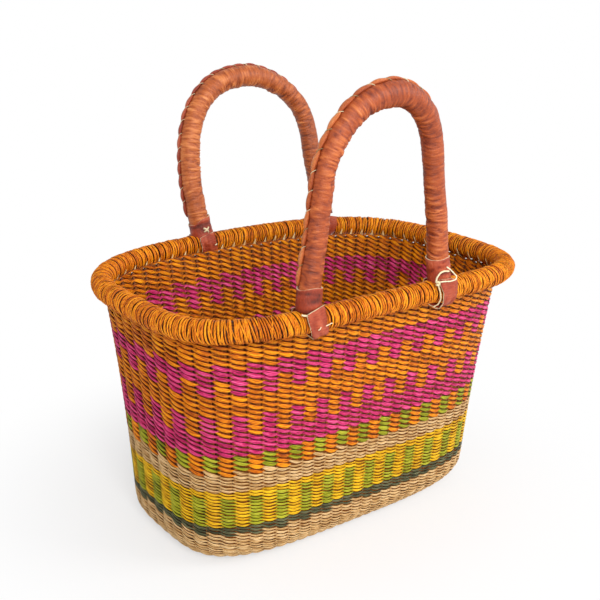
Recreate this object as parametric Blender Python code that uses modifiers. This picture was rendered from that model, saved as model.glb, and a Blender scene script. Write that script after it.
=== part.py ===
"""Oval bolga market basket: a twined straw wall in dyed bands, a wound rim and two leather handles.

Metres, +Z up. +X runs along the basket's long axis and -Y is its front side. The origin is the
middle of the base's underside. Each handle turns on the rim, about the line through its two loops.
"""
import math
from collections import namedtuple

import bmesh
import bpy
import numpy as np
from mathutils import Matrix, Vector
from mathutils.geometry import interpolate_bezier

COLLECTION = "bolga_basket"
CUTTERS = "cutters"
SIDE_SIGN = {"left": -1, "right": 1}
SHARP_ANGLE = math.radians(40)
STRAW_ROUGHNESS = 0.6
LEATHER_ROUGHNESS = 0.5

# Gaps that neighbouring pieces keep
SEAT_GAP = 0.0003
PASSING_GAP = 0.0008

# Rim: the centreline of the wound roll, an oval with square corners whose ends hang a little lower
RIM_HALF_LENGTH = 0.2000
RIM_HALF_WIDTH = 0.1275
RIM_HEIGHT = 0.2430
RIM_END_DROP = 0.0069
RIM_CORNER_POWER = 3.42
RIM_RADIUS = 0.0103
RIM_WRAP_THICKNESS = 0.0020
RIM_SLOT_WIDTH = 0.0060
RIM_SLOT_LEAN = math.radians(31)
RIM_WRAP_RIBS = 84
RIM_RIB_VALLEY_SHARE = 0.93

# Wall: outer surface at the foot, at half height and at the top
WALL_THICKNESS = 0.0042
FOOT_HALF_LENGTH = 0.1761
FOOT_HALF_WIDTH = 0.0948
FOOT_CORNER_POWER = 3.6
FOOT_FILLET = 0.0240
WAIST_HALF_LENGTH = 0.1855
WAIST_HALF_WIDTH = 0.1025
TOP_INSET_AT_ENDS = 0.0035
TOP_INSET_AT_SIDES = 0.0110

# Heights at which the base's edge ends and the first dyed band starts
BASE_EDGE_TOP = 0.0095
FOOT_TOP = 0.0326

# Dyed bands from the foot up, in rows of fine weft and then of coarse weft
COARSE_WEFT_SHARE = 1.509
DARK_ROWS = 3
YELLOW_GREEN_ROWS = 11
PALE_ROWS = 5
CHECK_ROWS = 4
LOWER_MAGENTA_ROWS = 8
MIDDLE_ORANGE_ROWS = 4
UPPER_MAGENTA_ROWS = 6
TOP_ORANGE_ROWS = 4

# Stakes: the upright straws whose ends run from the top band into the rim, spaced by eye
STAKE_COUNT = 72
STAKE_WIDTH = 0.0030
STAKE_THICKNESS = 0.0024
FIRST_STAKE_SHARE = 0.75
STAKE_DRIFT_SHARE = 0.011
SLOW_DRIFT_TURN = math.radians(36)
QUICK_DRIFT_TURN = math.radians(49)

# Handles: a grass core in a rolled leather cover, with a laced seam along the outside of the arch
COVER_RADIUS = 0.0098
COVER_THICKNESS = 0.0017
COVER_END_HEIGHT = 0.0150
CORE_TIP_SHARE = 0.30
CORE_TAPER_LENGTH = 0.0120
CORE_REST_GAP = 0.0005
CUFF_THICKNESS = 0.0011
CUFF_TOP_HEIGHT = 0.0365
STRAP_THICKNESS = 0.0016
STRAP_WIDTH = 0.0185
STRAP_TAIL_HEIGHT = 0.0205
THONG_RADIUS = 0.0009
LACE_RADIUS = 0.0022
LACE_WAIST_SHARE = 0.62
LACE_SCALLOPS = 30
LEG_HANDLE_SHARE = 1 / 3
ROUND_HANDLE_SHARE = 0.5523

# Places along the rim and widths of the arches are shares of the rim's half length
FRONT_CENTRE_SHARE = -0.14
FRONT_FOOT_SHARE = 0.3775
FRONT_SHOULDER_SHARE = 0.33
FRONT_SHOULDER_HEIGHT = 0.0900
FRONT_ARCH_HEIGHT = 0.1800
FRONT_LEAN = math.radians(0)
REAR_CENTRE_SHARE = 0.165
REAR_FOOT_SHARE = 0.415
REAR_SHOULDER_SHARE = 0.3975
REAR_SHOULDER_HEIGHT = 0.0850
REAR_ARCH_HEIGHT = 0.1665
REAR_LEAN = math.radians(13)

# Facets
WALL_POINTS = 64
FILLET_STEPS = 4
OVAL_STEPS = 1440
SLOPE_STEP = 0.00001
SLOPE_SHARE = 0.001
COVER_BEVEL_STEPS = 3
CORE_BEVEL_STEPS = 2
LACE_BEVEL_STEPS = 1
RIM_CORE_BEVEL_STEPS = 1
WRAP_OUTER_POINTS = 8
WRAP_INNER_POINTS = 6
LEG_STEPS = 5
CROWN_STEPS = 7
CUFF_SIDES = 16
STRAP_ARC_STEPS = 10
THONG_TURN_STEPS = 16
THONG_SIDES = 5


def side_count(bevel_steps):
    """Sides of a tube whose curve has this bevel resolution."""
    return 4 + 2 * bevel_steps


def across_flats(radius, sides):
    """Distance from a faceted tube's axis to the middle of its flats."""
    return radius * math.cos(math.pi / sides)


# Sizes that follow from the ones above
CORE_RADIUS = across_flats(COVER_RADIUS, side_count(COVER_BEVEL_STEPS)) - COVER_THICKNESS - SEAT_GAP
CUFF_RADIUS = (COVER_RADIUS + SEAT_GAP + CUFF_THICKNESS) / math.cos(math.pi / CUFF_SIDES)
LOOP_RADIUS = CUFF_RADIUS + SEAT_GAP
RIM_TO_WALL = LOOP_RADIUS + STRAP_THICKNESS + PASSING_GAP
WALL_TOP = RIM_HEIGHT - RIM_TO_WALL
FINE_ROWS = DARK_ROWS + YELLOW_GREEN_ROWS + PALE_ROWS
COARSE_ROWS = CHECK_ROWS + LOWER_MAGENTA_ROWS + MIDDLE_ORANGE_ROWS + UPPER_MAGENTA_ROWS + TOP_ORANGE_ROWS
FINE_WEFT_HEIGHT = (WALL_TOP - FOOT_TOP) / (FINE_ROWS + COARSE_WEFT_SHARE * COARSE_ROWS)
COARSE_WEFT_HEIGHT = COARSE_WEFT_SHARE * FINE_WEFT_HEIGHT
TOP_HALF_LENGTH = RIM_HALF_LENGTH - TOP_INSET_AT_ENDS
TOP_HALF_WIDTH = RIM_HALF_WIDTH - TOP_INSET_AT_SIDES
WRAP_BORE_RADIUS = RIM_RADIUS - RIM_WRAP_THICKNESS
WRAP_SLOT_HALF_TURN = math.asin(RIM_SLOT_WIDTH / (2 * WRAP_BORE_RADIUS))
BORE_HALF_FACET = (math.pi - WRAP_SLOT_HALF_TURN) / (WRAP_INNER_POINTS - 1)
RIM_CORE_RADIUS = WRAP_BORE_RADIUS * RIM_RIB_VALLEY_SHARE * math.cos(BORE_HALF_FACET) - PASSING_GAP

Handle = namedtuple("Handle", "name side centre foot shoulder shoulder_height arch_height lean")
FRONT = Handle("front", -1, FRONT_CENTRE_SHARE * RIM_HALF_LENGTH, FRONT_FOOT_SHARE * RIM_HALF_LENGTH,
               FRONT_SHOULDER_SHARE * RIM_HALF_LENGTH, FRONT_SHOULDER_HEIGHT, FRONT_ARCH_HEIGHT, FRONT_LEAN)
REAR = Handle("rear", 1, REAR_CENTRE_SHARE * RIM_HALF_LENGTH, REAR_FOOT_SHARE * RIM_HALF_LENGTH,
              REAR_SHOULDER_SHARE * RIM_HALF_LENGTH, REAR_SHOULDER_HEIGHT, REAR_ARCH_HEIGHT, REAR_LEAN)


def clear_scene():
    """Remove every object and mesh that the scene starts with."""
    for thing in list(bpy.data.objects):
        bpy.data.objects.remove(thing, do_unlink=True)


def new_collection(name):
    """Make a collection of the scene."""
    collection = bpy.data.collections.new(name)
    bpy.context.scene.collection.children.link(collection)
    return collection


def new_material(name, colour, roughness):
    """Make a plain dull material."""
    material = bpy.data.materials.new(name)
    material.use_nodes = True
    shader = material.node_tree.nodes["Principled BSDF"]
    shader.inputs["Base Color"].default_value = (*colour, 1)
    shader.inputs["Roughness"].default_value = roughness
    shader.inputs["Metallic"].default_value = 0
    return material


def add_object(name, data, material, parent=None):
    """Put a mesh or curve in the basket's collection, under its handle's empty where it has one."""
    thing = bpy.data.objects.new(name, data)
    bpy.data.collections[COLLECTION].objects.link(thing)
    data.materials.append(material)
    thing.parent = parent
    return thing


def finish_mesh(name, shape, material, parent=None):
    """Turn a bmesh into a smooth shaded object that keeps its sharp edges."""
    mesh = bpy.data.meshes.new(name)
    shape.to_mesh(mesh)
    shape.free()
    mesh.shade_smooth()
    mesh.set_sharp_from_angle(angle=SHARP_ANGLE)
    return add_object(name, mesh, material, parent)


def thicken(thing, thickness, offset):
    """Give an open skin its thickness, inwards for an offset of -1 and outwards for 1."""
    solid = thing.modifiers.new("thickness", "SOLIDIFY")
    solid.thickness = thickness
    solid.offset = offset
    solid.use_even_offset = True


def oval(half_length, half_width, power, girth_shares):
    """Points of a superellipse at shares of its girth, counter-clockwise from +X."""
    turn = np.linspace(0, 2 * np.pi, OVAL_STEPS + 1)
    x = half_length * np.sign(np.cos(turn)) * np.abs(np.cos(turn)) ** (2 / power)
    y = half_width * np.sign(np.sin(turn)) * np.abs(np.sin(turn)) ** (2 / power)
    walked = np.concatenate([[0], np.cumsum(np.hypot(np.diff(x), np.diff(y)))])
    wanted = np.array(girth_shares) % 1 * walked[-1]
    return list(zip(np.interp(wanted, walked, x), np.interp(wanted, walked, y)))


def even_shares(count):
    """Equal shares of a girth."""
    return [step / count for step in range(count)]


def through(foot, waist, top, rise):
    """Value at a share of the wall's height of the parabola through its three sizes."""
    return (foot * (1 - rise) * (1 - 2 * rise) + 4 * waist * rise * (1 - rise)
            + top * rise * (2 * rise - 1))


def end_drop(x):
    """How far the rim has dropped at this place along the basket."""
    return RIM_END_DROP * (x / RIM_HALF_LENGTH) ** 2


def wall_ring(height, girth_shares):
    """Points round the wall's outer surface at a height."""
    rise = height / WALL_TOP
    inset = 0
    if height < FOOT_FILLET:
        inset = FOOT_FILLET - math.sqrt(FOOT_FILLET ** 2 - (FOOT_FILLET - height) ** 2)
    half_length = through(FOOT_HALF_LENGTH, WAIST_HALF_LENGTH, TOP_HALF_LENGTH, rise) - inset
    half_width = through(FOOT_HALF_WIDTH, WAIST_HALF_WIDTH, TOP_HALF_WIDTH, rise) - inset
    power = FOOT_CORNER_POWER + (RIM_CORNER_POWER - FOOT_CORNER_POWER) * rise
    points = oval(half_length, half_width, power, girth_shares)
    return [Vector((x, y, height - rise * end_drop(x))) for x, y in points]


def rim_path(girth_shares):
    """Points of the rim's centreline at shares of its girth."""
    points = oval(RIM_HALF_LENGTH, RIM_HALF_WIDTH, RIM_CORNER_POWER, girth_shares)
    return [Vector((x, y, RIM_HEIGHT - end_drop(x))) for x, y in points]


def rim_point_at(x, side):
    """Point of the rim's centreline at this place along its front (-1) or rear (1) side."""
    fall = 1 - abs(x / RIM_HALF_LENGTH) ** RIM_CORNER_POWER
    y = side * RIM_HALF_WIDTH * fall ** (1 / RIM_CORNER_POWER)
    return Vector((x, y, RIM_HEIGHT - end_drop(x)))


def fillet_heights(low, high):
    """Heights at equal turns round the foot's fillet, from one height to another."""
    first, last = (math.acos(1 - height / FOOT_FILLET) for height in (low, high))
    turns = [first + (last - first) * step / FILLET_STEPS for step in range(FILLET_STEPS + 1)]
    return [FOOT_FILLET * (1 - math.cos(turn)) for turn in turns]


def inner_ring(height, girth_shares):
    """Points one wall's thickness inside the outer surface, square to it."""
    here = wall_ring(height, girth_shares)
    above = wall_ring(height + SLOPE_STEP, girth_shares)
    ahead = wall_ring(height, [share + SLOPE_SHARE for share in girth_shares])
    inner = []
    for point, higher, further in zip(here, above, ahead):
        outward = (further - point).cross(higher - point).normalized()
        inner.append(point - outward * WALL_THICKNESS)
    return inner


def wall_shell(heights, girth_shares):
    """Loft one ring of the wall through ovals at these heights, and return its top faces too."""
    shell = bmesh.new()
    rings = [wall_ring(height, girth_shares) for height in heights]
    rings += [inner_ring(height, girth_shares) for height in reversed(heights)]
    rings = [[shell.verts.new(point) for point in ring] for ring in rings]
    faces = []
    for first, second in zip(rings, rings[1:] + rings[:1]):
        for here in range(len(girth_shares)):
            ahead = (here + 1) % len(girth_shares)
            faces.append(shell.faces.new((first[here], first[ahead], second[ahead], second[here])))
    below_top = (len(heights) - 1) * len(girth_shares)
    return shell, faces[below_top:below_top + len(girth_shares)]


def make_base_mat(material):
    """Flat oval floor that the wall turns up from."""
    inset = FOOT_FILLET + SEAT_GAP
    outline = oval(FOOT_HALF_LENGTH - inset, FOOT_HALF_WIDTH - inset, FOOT_CORNER_POWER,
                   even_shares(WALL_POINTS))
    mat = bmesh.new()
    mat.faces.new([mat.verts.new((x, y, 0)) for x, y in reversed(outline)])
    thicken(finish_mesh("base_mat", mat, material), WALL_THICKNESS, -1)


def make_band(name, heights, material):
    """One ring of dyed weft."""
    shell, _ = wall_shell(heights, even_shares(WALL_POINTS))
    finish_mesh(name, shell, material)


def make_bands(paints):
    """Stack the rings of the wall on the base, and return the height at which the top band starts."""
    make_band("base_edge", fillet_heights(0, BASE_EDGE_TOP - SEAT_GAP), paints["pale"])
    foot_heights = fillet_heights(BASE_EDGE_TOP, FOOT_FILLET) + [FOOT_TOP - SEAT_GAP]
    make_band("foot_band", foot_heights, paints["pale"])
    low = FOOT_TOP
    for name, rows, weft_height, paint in (
            ("dark_band", DARK_ROWS, FINE_WEFT_HEIGHT, "dark"),
            ("yellow_green_band", YELLOW_GREEN_ROWS, FINE_WEFT_HEIGHT, "yellow"),
            ("pale_band", PALE_ROWS, FINE_WEFT_HEIGHT, "pale"),
            ("check_band", CHECK_ROWS, COARSE_WEFT_HEIGHT, "green"),
            ("lower_magenta_band", LOWER_MAGENTA_ROWS, COARSE_WEFT_HEIGHT, "magenta"),
            ("middle_orange_band", MIDDLE_ORANGE_ROWS, COARSE_WEFT_HEIGHT, "orange"),
            ("upper_magenta_band", UPPER_MAGENTA_ROWS, COARSE_WEFT_HEIGHT, "magenta")):
        high = low + rows * weft_height
        make_band(name, [low, high - SEAT_GAP], paints[paint])
        low = high
    return low


def stake_shares():
    """Shares of the girth at which the stakes stand, from the middle of the front."""
    shares = []
    for stake in range(STAKE_COUNT):
        turn = 2 * math.pi * stake / STAKE_COUNT
        drift = math.cos(turn - SLOW_DRIFT_TURN) - math.cos(2 * turn - QUICK_DRIFT_TURN)
        shares.append(FIRST_STAKE_SHARE + stake / STAKE_COUNT + STAKE_DRIFT_SHARE * drift)
    return shares


def stake_is_clear(share):
    """Whether a straw's end keeps clear, below and above, of the four loops that pass under the rim."""
    for place in wall_ring(WALL_TOP, [share]) + rim_path([share]):
        for handle in (FRONT, REAR):
            for end in (-1, 1):
                beside = abs(place.x - handle.centre - end * handle.foot)
                if place.y * handle.side > 0 and beside < STRAP_WIDTH / 2 + STAKE_WIDTH:
                    return False
    return True


def raise_stake(shell, top_face, middle_share):
    """Draw one straw's end out of the band's top edge and lead it through the rim's slot."""
    drawn = bmesh.ops.extrude_discrete_faces(shell, faces=[top_face])["faces"][0]
    centre = drawn.calc_center_median()
    middle, further = rim_path([middle_share, middle_share + SLOPE_SHARE])
    along = Vector((further.x - middle.x, further.y - middle.y, 0)).normalized()
    outward = along.cross(Vector((0, 0, 1)))
    slot = -outward * math.sin(RIM_SLOT_LEAN) - Vector((0, 0, math.cos(RIM_SLOT_LEAN)))
    across = slot.cross(along)
    tip = middle + slot * (RIM_CORE_RADIUS + SEAT_GAP)
    for vert in drawn.verts:
        reach = vert.co - centre
        sideways = math.copysign(STAKE_WIDTH / 2, reach.dot(along))
        depth = math.copysign(STAKE_THICKNESS / 2, reach.dot(outward))
        vert.co = tip + along * sideways + across * depth


def make_top_band(low, material):
    """Top ring of weft, with the straws' ends that stand out of it up to the rim's core."""
    edge_share = STAKE_WIDTH / (2 * girth(TOP_HALF_LENGTH, TOP_HALF_WIDTH, RIM_CORNER_POWER))
    middles = stake_shares()
    edges = [middle + edge for middle in middles for edge in (-edge_share, edge_share)]
    shell, top_faces = wall_shell([low, WALL_TOP], edges)
    for middle, top_face in zip(middles, top_faces[::2]):
        if stake_is_clear(middle):
            raise_stake(shell, top_face, middle)
    finish_mesh("top_orange_band", shell, material)


def girth(half_length, half_width, power):
    """Length of a superellipse's outline."""
    points = [Vector(point) for point in oval(half_length, half_width, power, even_shares(OVAL_STEPS))]
    return sum((after - before).length for before, after in zip(points, points[1:] + points[:1]))


def new_path(name, points, cyclic=False, radius_shares=None):
    """Make a straight-segment 3D curve through the points."""
    curve = bpy.data.curves.new(name, "CURVE")
    curve.dimensions = "3D"
    spline = curve.splines.new("POLY")
    spline.points.add(len(points) - 1)
    for index, place in enumerate(points):
        spline.points[index].co = (*place, 1)
        if radius_shares:
            spline.points[index].radius = radius_shares[index]
    spline.use_cyclic_u = cyclic
    spline.use_smooth = True
    return curve


def make_rim_core(material):
    """Roll of straw inside the rim."""
    curve = new_path("rim_core", rim_path(even_shares(RIM_WRAP_RIBS)), cyclic=True)
    curve.bevel_depth = RIM_CORE_RADIUS
    curve.bevel_resolution = RIM_CORE_BEVEL_STEPS
    add_object("rim_core", curve, material)


def wrap_profile():
    """Section of the grass wound round the roll, open where the straws' ends go in."""
    outside = (RIM_RADIUS, WRAP_OUTER_POINTS, 1)
    bore = (WRAP_BORE_RADIUS, WRAP_INNER_POINTS, -1)
    points = []
    for radius, count, sense in (outside, bore):
        half_slot = math.asin(RIM_SLOT_WIDTH / (2 * radius))
        sweep = 2 * math.pi - 2 * half_slot
        turns = [half_slot + sweep * step / (count - 1) for step in range(count)]
        for turn in turns[::sense]:
            angle = RIM_SLOT_LEAN + turn
            points.append(Vector((-radius * math.sin(angle), -radius * math.cos(angle), 0)))
    return points


def make_rim_wrap(material):
    """Grass wound tightly round the rim's roll, drawn as one ribbed sleeve with a slot below."""
    section = new_path("rim_wrap_profile", wrap_profile(), cyclic=True)
    profile = bpy.data.objects.new(section.name, section)
    bpy.data.collections[CUTTERS].objects.link(profile)
    profile.hide_render = True
    profile.display_type = "WIRE"
    ring_count = 2 * RIM_WRAP_RIBS
    swell = [1 if ring % 2 == 0 else RIM_RIB_VALLEY_SHARE for ring in range(ring_count)]
    curve = new_path("rim_wrap", rim_path(even_shares(ring_count)), cyclic=True, radius_shares=swell)
    curve.bevel_mode = "OBJECT"
    curve.bevel_object = profile
    curve.twist_mode = "Z_UP"
    add_object("rim_wrap", curve, material)


def handle_empty(handle):
    """Empty on the line through the handle's two loops: X along it and Z up the leaning arch."""
    left, right = (rim_point_at(handle.centre + end * handle.foot, handle.side) for end in (-1, 1))
    axis = (right - left).normalized()
    upright = (Vector((0, 0, 1)) - axis * axis.z).normalized()
    outward = axis.cross(upright) * -handle.side
    leaning = upright * math.cos(handle.lean) + outward * math.sin(handle.lean)
    matrix = Matrix((axis, leaning.cross(axis), leaning)).transposed().to_4x4()
    matrix.translation = (left + right) / 2
    empty = bpy.data.objects.new(handle.name + "_handle_axis", None)
    empty.matrix_world = matrix
    bpy.data.collections[COLLECTION].objects.link(empty)
    return empty, (right - left).length / 2


def arch_path(handle, foot_half_span):
    """Centreline of a handle in its own plane, from the left loop over the top to the right one."""
    foot = Vector((foot_half_span, 0, 0))
    shoulder = Vector((handle.shoulder, 0, handle.shoulder_height))
    apex = Vector((0, 0, handle.arch_height))
    drawn = Vector((0, 0, LEG_HANDLE_SHARE * handle.shoulder_height))
    rise = Vector((0, 0, ROUND_HANDLE_SHARE * (handle.arch_height - handle.shoulder_height)))
    reach = Vector((ROUND_HANDLE_SHARE * handle.shoulder, 0, 0))
    leg = interpolate_bezier(foot, foot.lerp(shoulder, LEG_HANDLE_SHARE), shoulder - drawn, shoulder,
                             LEG_STEPS + 1)
    crown = interpolate_bezier(shoulder, shoulder + rise, apex + reach, apex, CROWN_STEPS + 1)
    right = leg + crown[1:]
    left = [Vector((-point.x, 0, point.z)) for point in right]
    return left + right[-2::-1]


def leg_place(path, height):
    """Distance of a leg's centreline from the middle of its handle at this height."""
    rising = path[:len(path) // 2 + 1]
    return -float(np.interp(height, [point.z for point in rising], [point.x for point in rising]))


def path_above(path, height):
    """The part of a handle's centreline over a height, ending at that height."""
    place = leg_place(path, height)
    inner = [point for point in path if point.z > height]
    return [Vector((-place, 0, height))] + inner + [Vector((place, 0, height))]


def even_steps(path, count):
    """Points at equal distances along a path."""
    walked = np.concatenate([[0], np.cumsum([(b - a).length for a, b in zip(path, path[1:])])])
    wanted = np.linspace(0, walked[-1], count)
    columns = [np.interp(wanted, walked, [point[axis] for point in path]) for axis in range(3)]
    return [Vector(place) for place in zip(*columns)]


def add_tube(name, path, radius, bevel_steps, material, empty, caps=True, radius_shares=None):
    """Round tube along a handle's path."""
    curve = new_path(name, path, radius_shares=radius_shares)
    curve.bevel_depth = radius
    curve.bevel_resolution = bevel_steps
    curve.use_fill_caps = caps
    return add_object(name, curve, material, empty)


def make_handle_core(handle, path, empty, material):
    """Bent bundle of grass whose tapered ends bear on the rim."""
    tip = RIM_RADIUS + CORE_REST_GAP
    upper = path_above(path, tip + CORE_TAPER_LENGTH)
    left_tip, right_tip = path_above(path, tip)[0], path_above(path, tip)[-1]
    shares = [CORE_TIP_SHARE] + [1] * len(upper) + [CORE_TIP_SHARE]
    add_tube(handle.name + "_handle_core", [left_tip] + upper + [right_tip], CORE_RADIUS,
             CORE_BEVEL_STEPS, material, empty, radius_shares=shares)


def make_handle_cover(handle, path, empty, material):
    """Leather rolled round the core."""
    cover = add_tube(handle.name + "_handle_cover", path_above(path, COVER_END_HEIGHT), COVER_RADIUS,
                     COVER_BEVEL_STEPS, material, empty, caps=False)
    thicken(cover, COVER_THICKNESS, -1)


def make_lacing(handle, path, empty, material):
    """Scalloped strip that laces the cover's seam, along the outside of the arch."""
    offset = COVER_RADIUS + SEAT_GAP + LACE_RADIUS
    count = 2 * LACE_SCALLOPS + 1
    steps = even_steps(path_above(path, CUFF_TOP_HEIGHT + SEAT_GAP + LACE_RADIUS), count)
    laced = []
    for index, place in enumerate(steps):
        run = steps[min(index + 1, count - 1)] - steps[max(index - 1, 0)]
        laced.append(place + Vector((-run.z, 0, run.x)).normalized() * offset)
    shares = [LACE_WAIST_SHARE if index % 2 == 0 else 1 for index in range(count)]
    add_tube(handle.name + "_handle_lacing", laced, LACE_RADIUS, LACE_BEVEL_STEPS, material, empty,
             radius_shares=shares)


def make_cuff(handle, end, path, empty, material):
    """Redder leather sleeve round the end of a leg, sheared along with it."""
    sleeve = bmesh.new()
    height = CUFF_TOP_HEIGHT - LOOP_RADIUS
    bmesh.ops.create_cone(sleeve, cap_ends=False, segments=CUFF_SIDES, radius1=CUFF_RADIUS,
                          radius2=CUFF_RADIUS, depth=height)
    for vert in sleeve.verts:
        vert.co.z += LOOP_RADIUS + height / 2
        vert.co.x += SIDE_SIGN[end] * leg_place(path, vert.co.z)
    name = f"{handle.name}_{end}_cuff"
    thicken(finish_mesh(name, sleeve, material, empty), CUFF_THICKNESS, -1)


def make_loop(handle, end, path, empty, material):
    """Leather strap that hangs a leg on the rim: down its outer side, under the roll and up again."""
    middle = SIDE_SIGN[end] * leg_place(path, 0)
    strap = bmesh.new()
    places = [(-LOOP_RADIUS, STRAP_TAIL_HEIGHT)]
    for step in range(STRAP_ARC_STEPS + 1):
        turn = math.pi * step / STRAP_ARC_STEPS
        places.append((-LOOP_RADIUS * math.cos(turn), -LOOP_RADIUS * math.sin(turn)))
    places.append((LOOP_RADIUS, STRAP_TAIL_HEIGHT))
    verts = [strap.verts.new((middle - STRAP_WIDTH / 2, y, z)) for y, z in places]
    edges = [strap.edges.new(pair) for pair in zip(verts, verts[1:])]
    swept = bmesh.ops.extrude_edge_only(strap, edges=edges)["geom"]
    moved = [item for item in swept if isinstance(item, bmesh.types.BMVert)]
    bmesh.ops.translate(strap, verts=moved, vec=(STRAP_WIDTH, 0, 0))
    bmesh.ops.recalc_face_normals(strap, faces=strap.faces)
    lowest = min(strap.faces, key=lambda face: face.calc_center_median().z)
    outward = 1 if lowest.normal.z < 0 else -1
    thicken(finish_mesh(f"{handle.name}_{end}_loop", strap, material, empty), STRAP_THICKNESS, outward)


def make_thong(handle, end, path, empty, material):
    """Rawhide thong tied round the cuff, just over the loop's tails."""
    height = STRAP_TAIL_HEIGHT + SEAT_GAP + THONG_RADIUS
    ring_radius = CUFF_RADIUS + SEAT_GAP + THONG_RADIUS
    bpy.ops.mesh.primitive_torus_add(major_radius=ring_radius, minor_radius=THONG_RADIUS,
                                     major_segments=THONG_TURN_STEPS, minor_segments=THONG_SIDES)
    thong = bpy.context.object
    thong.name = f"{handle.name}_{end}_thong"
    thong.data.shade_smooth()
    thong.data.materials.append(material)
    thong.parent = empty
    thong.location = (SIDE_SIGN[end] * leg_place(path, height), 0, height)
    for collection in list(thong.users_collection):
        collection.objects.unlink(thong)
    bpy.data.collections[COLLECTION].objects.link(thong)


def make_handle(handle, paints):
    """One handle with the cuffs, loops and thongs that hang it on the rim."""
    empty, foot_half_span = handle_empty(handle)
    path = arch_path(handle, foot_half_span)
    make_handle_core(handle, path, empty, paints["pale"])
    make_handle_cover(handle, path, empty, paints["leather"])
    make_lacing(handle, path, empty, paints["leather_edge"])
    for end in SIDE_SIGN:
        make_cuff(handle, end, path, empty, paints["red_leather"])
        make_loop(handle, end, path, empty, paints["red_leather"])
        make_thong(handle, end, path, empty, paints["rawhide"])


def make_paints():
    """The basket's dyed straws and leathers."""
    straws = {"pale": (0.68, 0.45, 0.17), "dark": (0.06, 0.06, 0.03), "yellow": (0.62, 0.46, 0.02),
              "green": (0.35, 0.36, 0.03), "magenta": (0.55, 0.04, 0.16), "orange": (0.76, 0.23, 0.01)}
    leathers = {"leather": (0.50, 0.15, 0.06), "leather_edge": (0.42, 0.12, 0.05),
                "red_leather": (0.40, 0.07, 0.03), "rawhide": (0.75, 0.65, 0.42)}
    paints = {name: new_material(name, colour, STRAW_ROUGHNESS) for name, colour in straws.items()}
    for name, colour in leathers.items():
        paints[name] = new_material(name, colour, LEATHER_ROUGHNESS)
    return paints


def main():
    """Build the basket."""
    clear_scene()
    new_collection(COLLECTION)
    new_collection(CUTTERS)
    paints = make_paints()
    make_base_mat(paints["pale"])
    make_top_band(make_bands(paints), paints["orange"])
    make_rim_core(paints["pale"])
    make_rim_wrap(paints["orange"])
    for handle in (FRONT, REAR):
        make_handle(handle, paints)


main()
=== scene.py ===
"""Looks of the bolga market basket: twined straw, a wound rim and laced leather handles.

Metres, +Z up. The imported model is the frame. Its soft solids are replaced here by what they are made
of: straws twined in pairs round upright stakes, grass wound on the rim, and creased leather.
"""
import math

import bpy
import numpy as np
from mathutils import Matrix, Vector


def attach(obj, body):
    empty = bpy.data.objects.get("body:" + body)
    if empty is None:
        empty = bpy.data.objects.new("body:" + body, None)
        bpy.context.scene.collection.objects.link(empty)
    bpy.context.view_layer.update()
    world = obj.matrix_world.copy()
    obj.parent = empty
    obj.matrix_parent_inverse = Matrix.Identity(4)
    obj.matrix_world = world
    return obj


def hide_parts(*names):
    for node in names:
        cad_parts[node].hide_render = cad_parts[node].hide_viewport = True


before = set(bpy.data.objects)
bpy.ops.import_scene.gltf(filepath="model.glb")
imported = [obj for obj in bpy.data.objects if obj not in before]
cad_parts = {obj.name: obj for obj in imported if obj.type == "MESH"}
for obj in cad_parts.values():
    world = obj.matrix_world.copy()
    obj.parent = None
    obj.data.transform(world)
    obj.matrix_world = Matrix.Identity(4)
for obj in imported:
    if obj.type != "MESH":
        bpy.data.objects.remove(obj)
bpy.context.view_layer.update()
rng = np.random.default_rng(20)

# Rim, as in the part's source
RIM_HALF_LENGTH = 0.2000
RIM_HALF_WIDTH = 0.1275
RIM_HEIGHT = 0.2430
RIM_END_DROP = 0.0069
RIM_POWER = 3.42
RIM_RADIUS = 0.0103

# Wall, as in the part's source
WALL_THICKNESS = 0.0042
WALL_TOP = 0.22888
FOOT_HALF_LENGTH = 0.1761
FOOT_HALF_WIDTH = 0.0948
FOOT_POWER = 3.6
FOOT_FILLET = 0.0240
WAIST_HALF_LENGTH = 0.1855
WAIST_HALF_WIDTH = 0.1025
TOP_HALF_LENGTH = 0.1965
TOP_HALF_WIDTH = 0.1165
BASE_HALF_LENGTH = 0.1518
BASE_HALF_WIDTH = 0.0705

# Stakes and their uneven spacing, as in the part's source
STAKES = 72
FIRST_STAKE = 0.75
DRIFT = 0.011
SLOW_TURN = math.radians(36)
QUICK_TURN = math.radians(49)

# Hand-made unevenness, read off the photo: the top row, the back and the two ends, which are drawn in
TOP_ROW_SQUEEZE = 0.45
BACK_LEFT_LIFT = 0.0028
BACK_LIFT_START = 0.06
BACK_LIFT_REACH = 0.16
BACK_RIM_SAG = 0.0020
END_START = 0.11
END_REACH = 0.09
END_POWER = 1.6
LEFT_END_IN = 0.008
TOP_LEFT_END_IN = 0.004
TOP_RIGHT_END_IN = 0.001
RIM_RIGHT_END_IN = 0.003


def linear(red, green, blue):
    """Linear colour of a screen colour given in 0 to 255."""
    out = []
    for value in (red, green, blue):
        share = value / 255
        out.append(share / 12.92 if share <= 0.04045 else ((share + 0.055) / 1.055) ** 2.4)
    return (*out, 1.0)


# Dyes: a painted shadow, the body colour and a painted highlight of each straw, between which its own random streaks
# and tints also move it
DYES = {
    "orange": ((136, 54, 2), (224, 116, 2), (252, 170, 16)),
    "magenta": ((116, 8, 50), (206, 34, 98), (240, 98, 152)),
    "yellow": ((142, 88, 2), (228, 170, 2), (250, 206, 34)),
    "green": ((84, 84, 4), (152, 152, 14), (194, 190, 54)),
    "natural": ((130, 84, 40), (204, 158, 96), (238, 204, 152)),
    "dark": ((36, 36, 20), (74, 74, 46), (122, 120, 86)),
}

# Painted shade over a straw: darker between the turns of the rim, in the grooves of a strand, and at the edges of its
# section
WOUND_SHADE = ((0.0, 0.26), (0.46, 0.72), (0.80, 1))
GROOVE_SHADE = ((0.0, 0.40), (0.40, 0.90), (1.0, 1))
ROUND_SHADE = ((0.0, 0.20), (0.12, 1), (0.40, 1), (0.50, 0.20), (0.62, 1), (0.88, 1), (1.0, 0.20))
# Share of the shadow colour in the darkest stop, the painted shade of a crease
CREASE_SHADE_SHARE = 0.30
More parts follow.
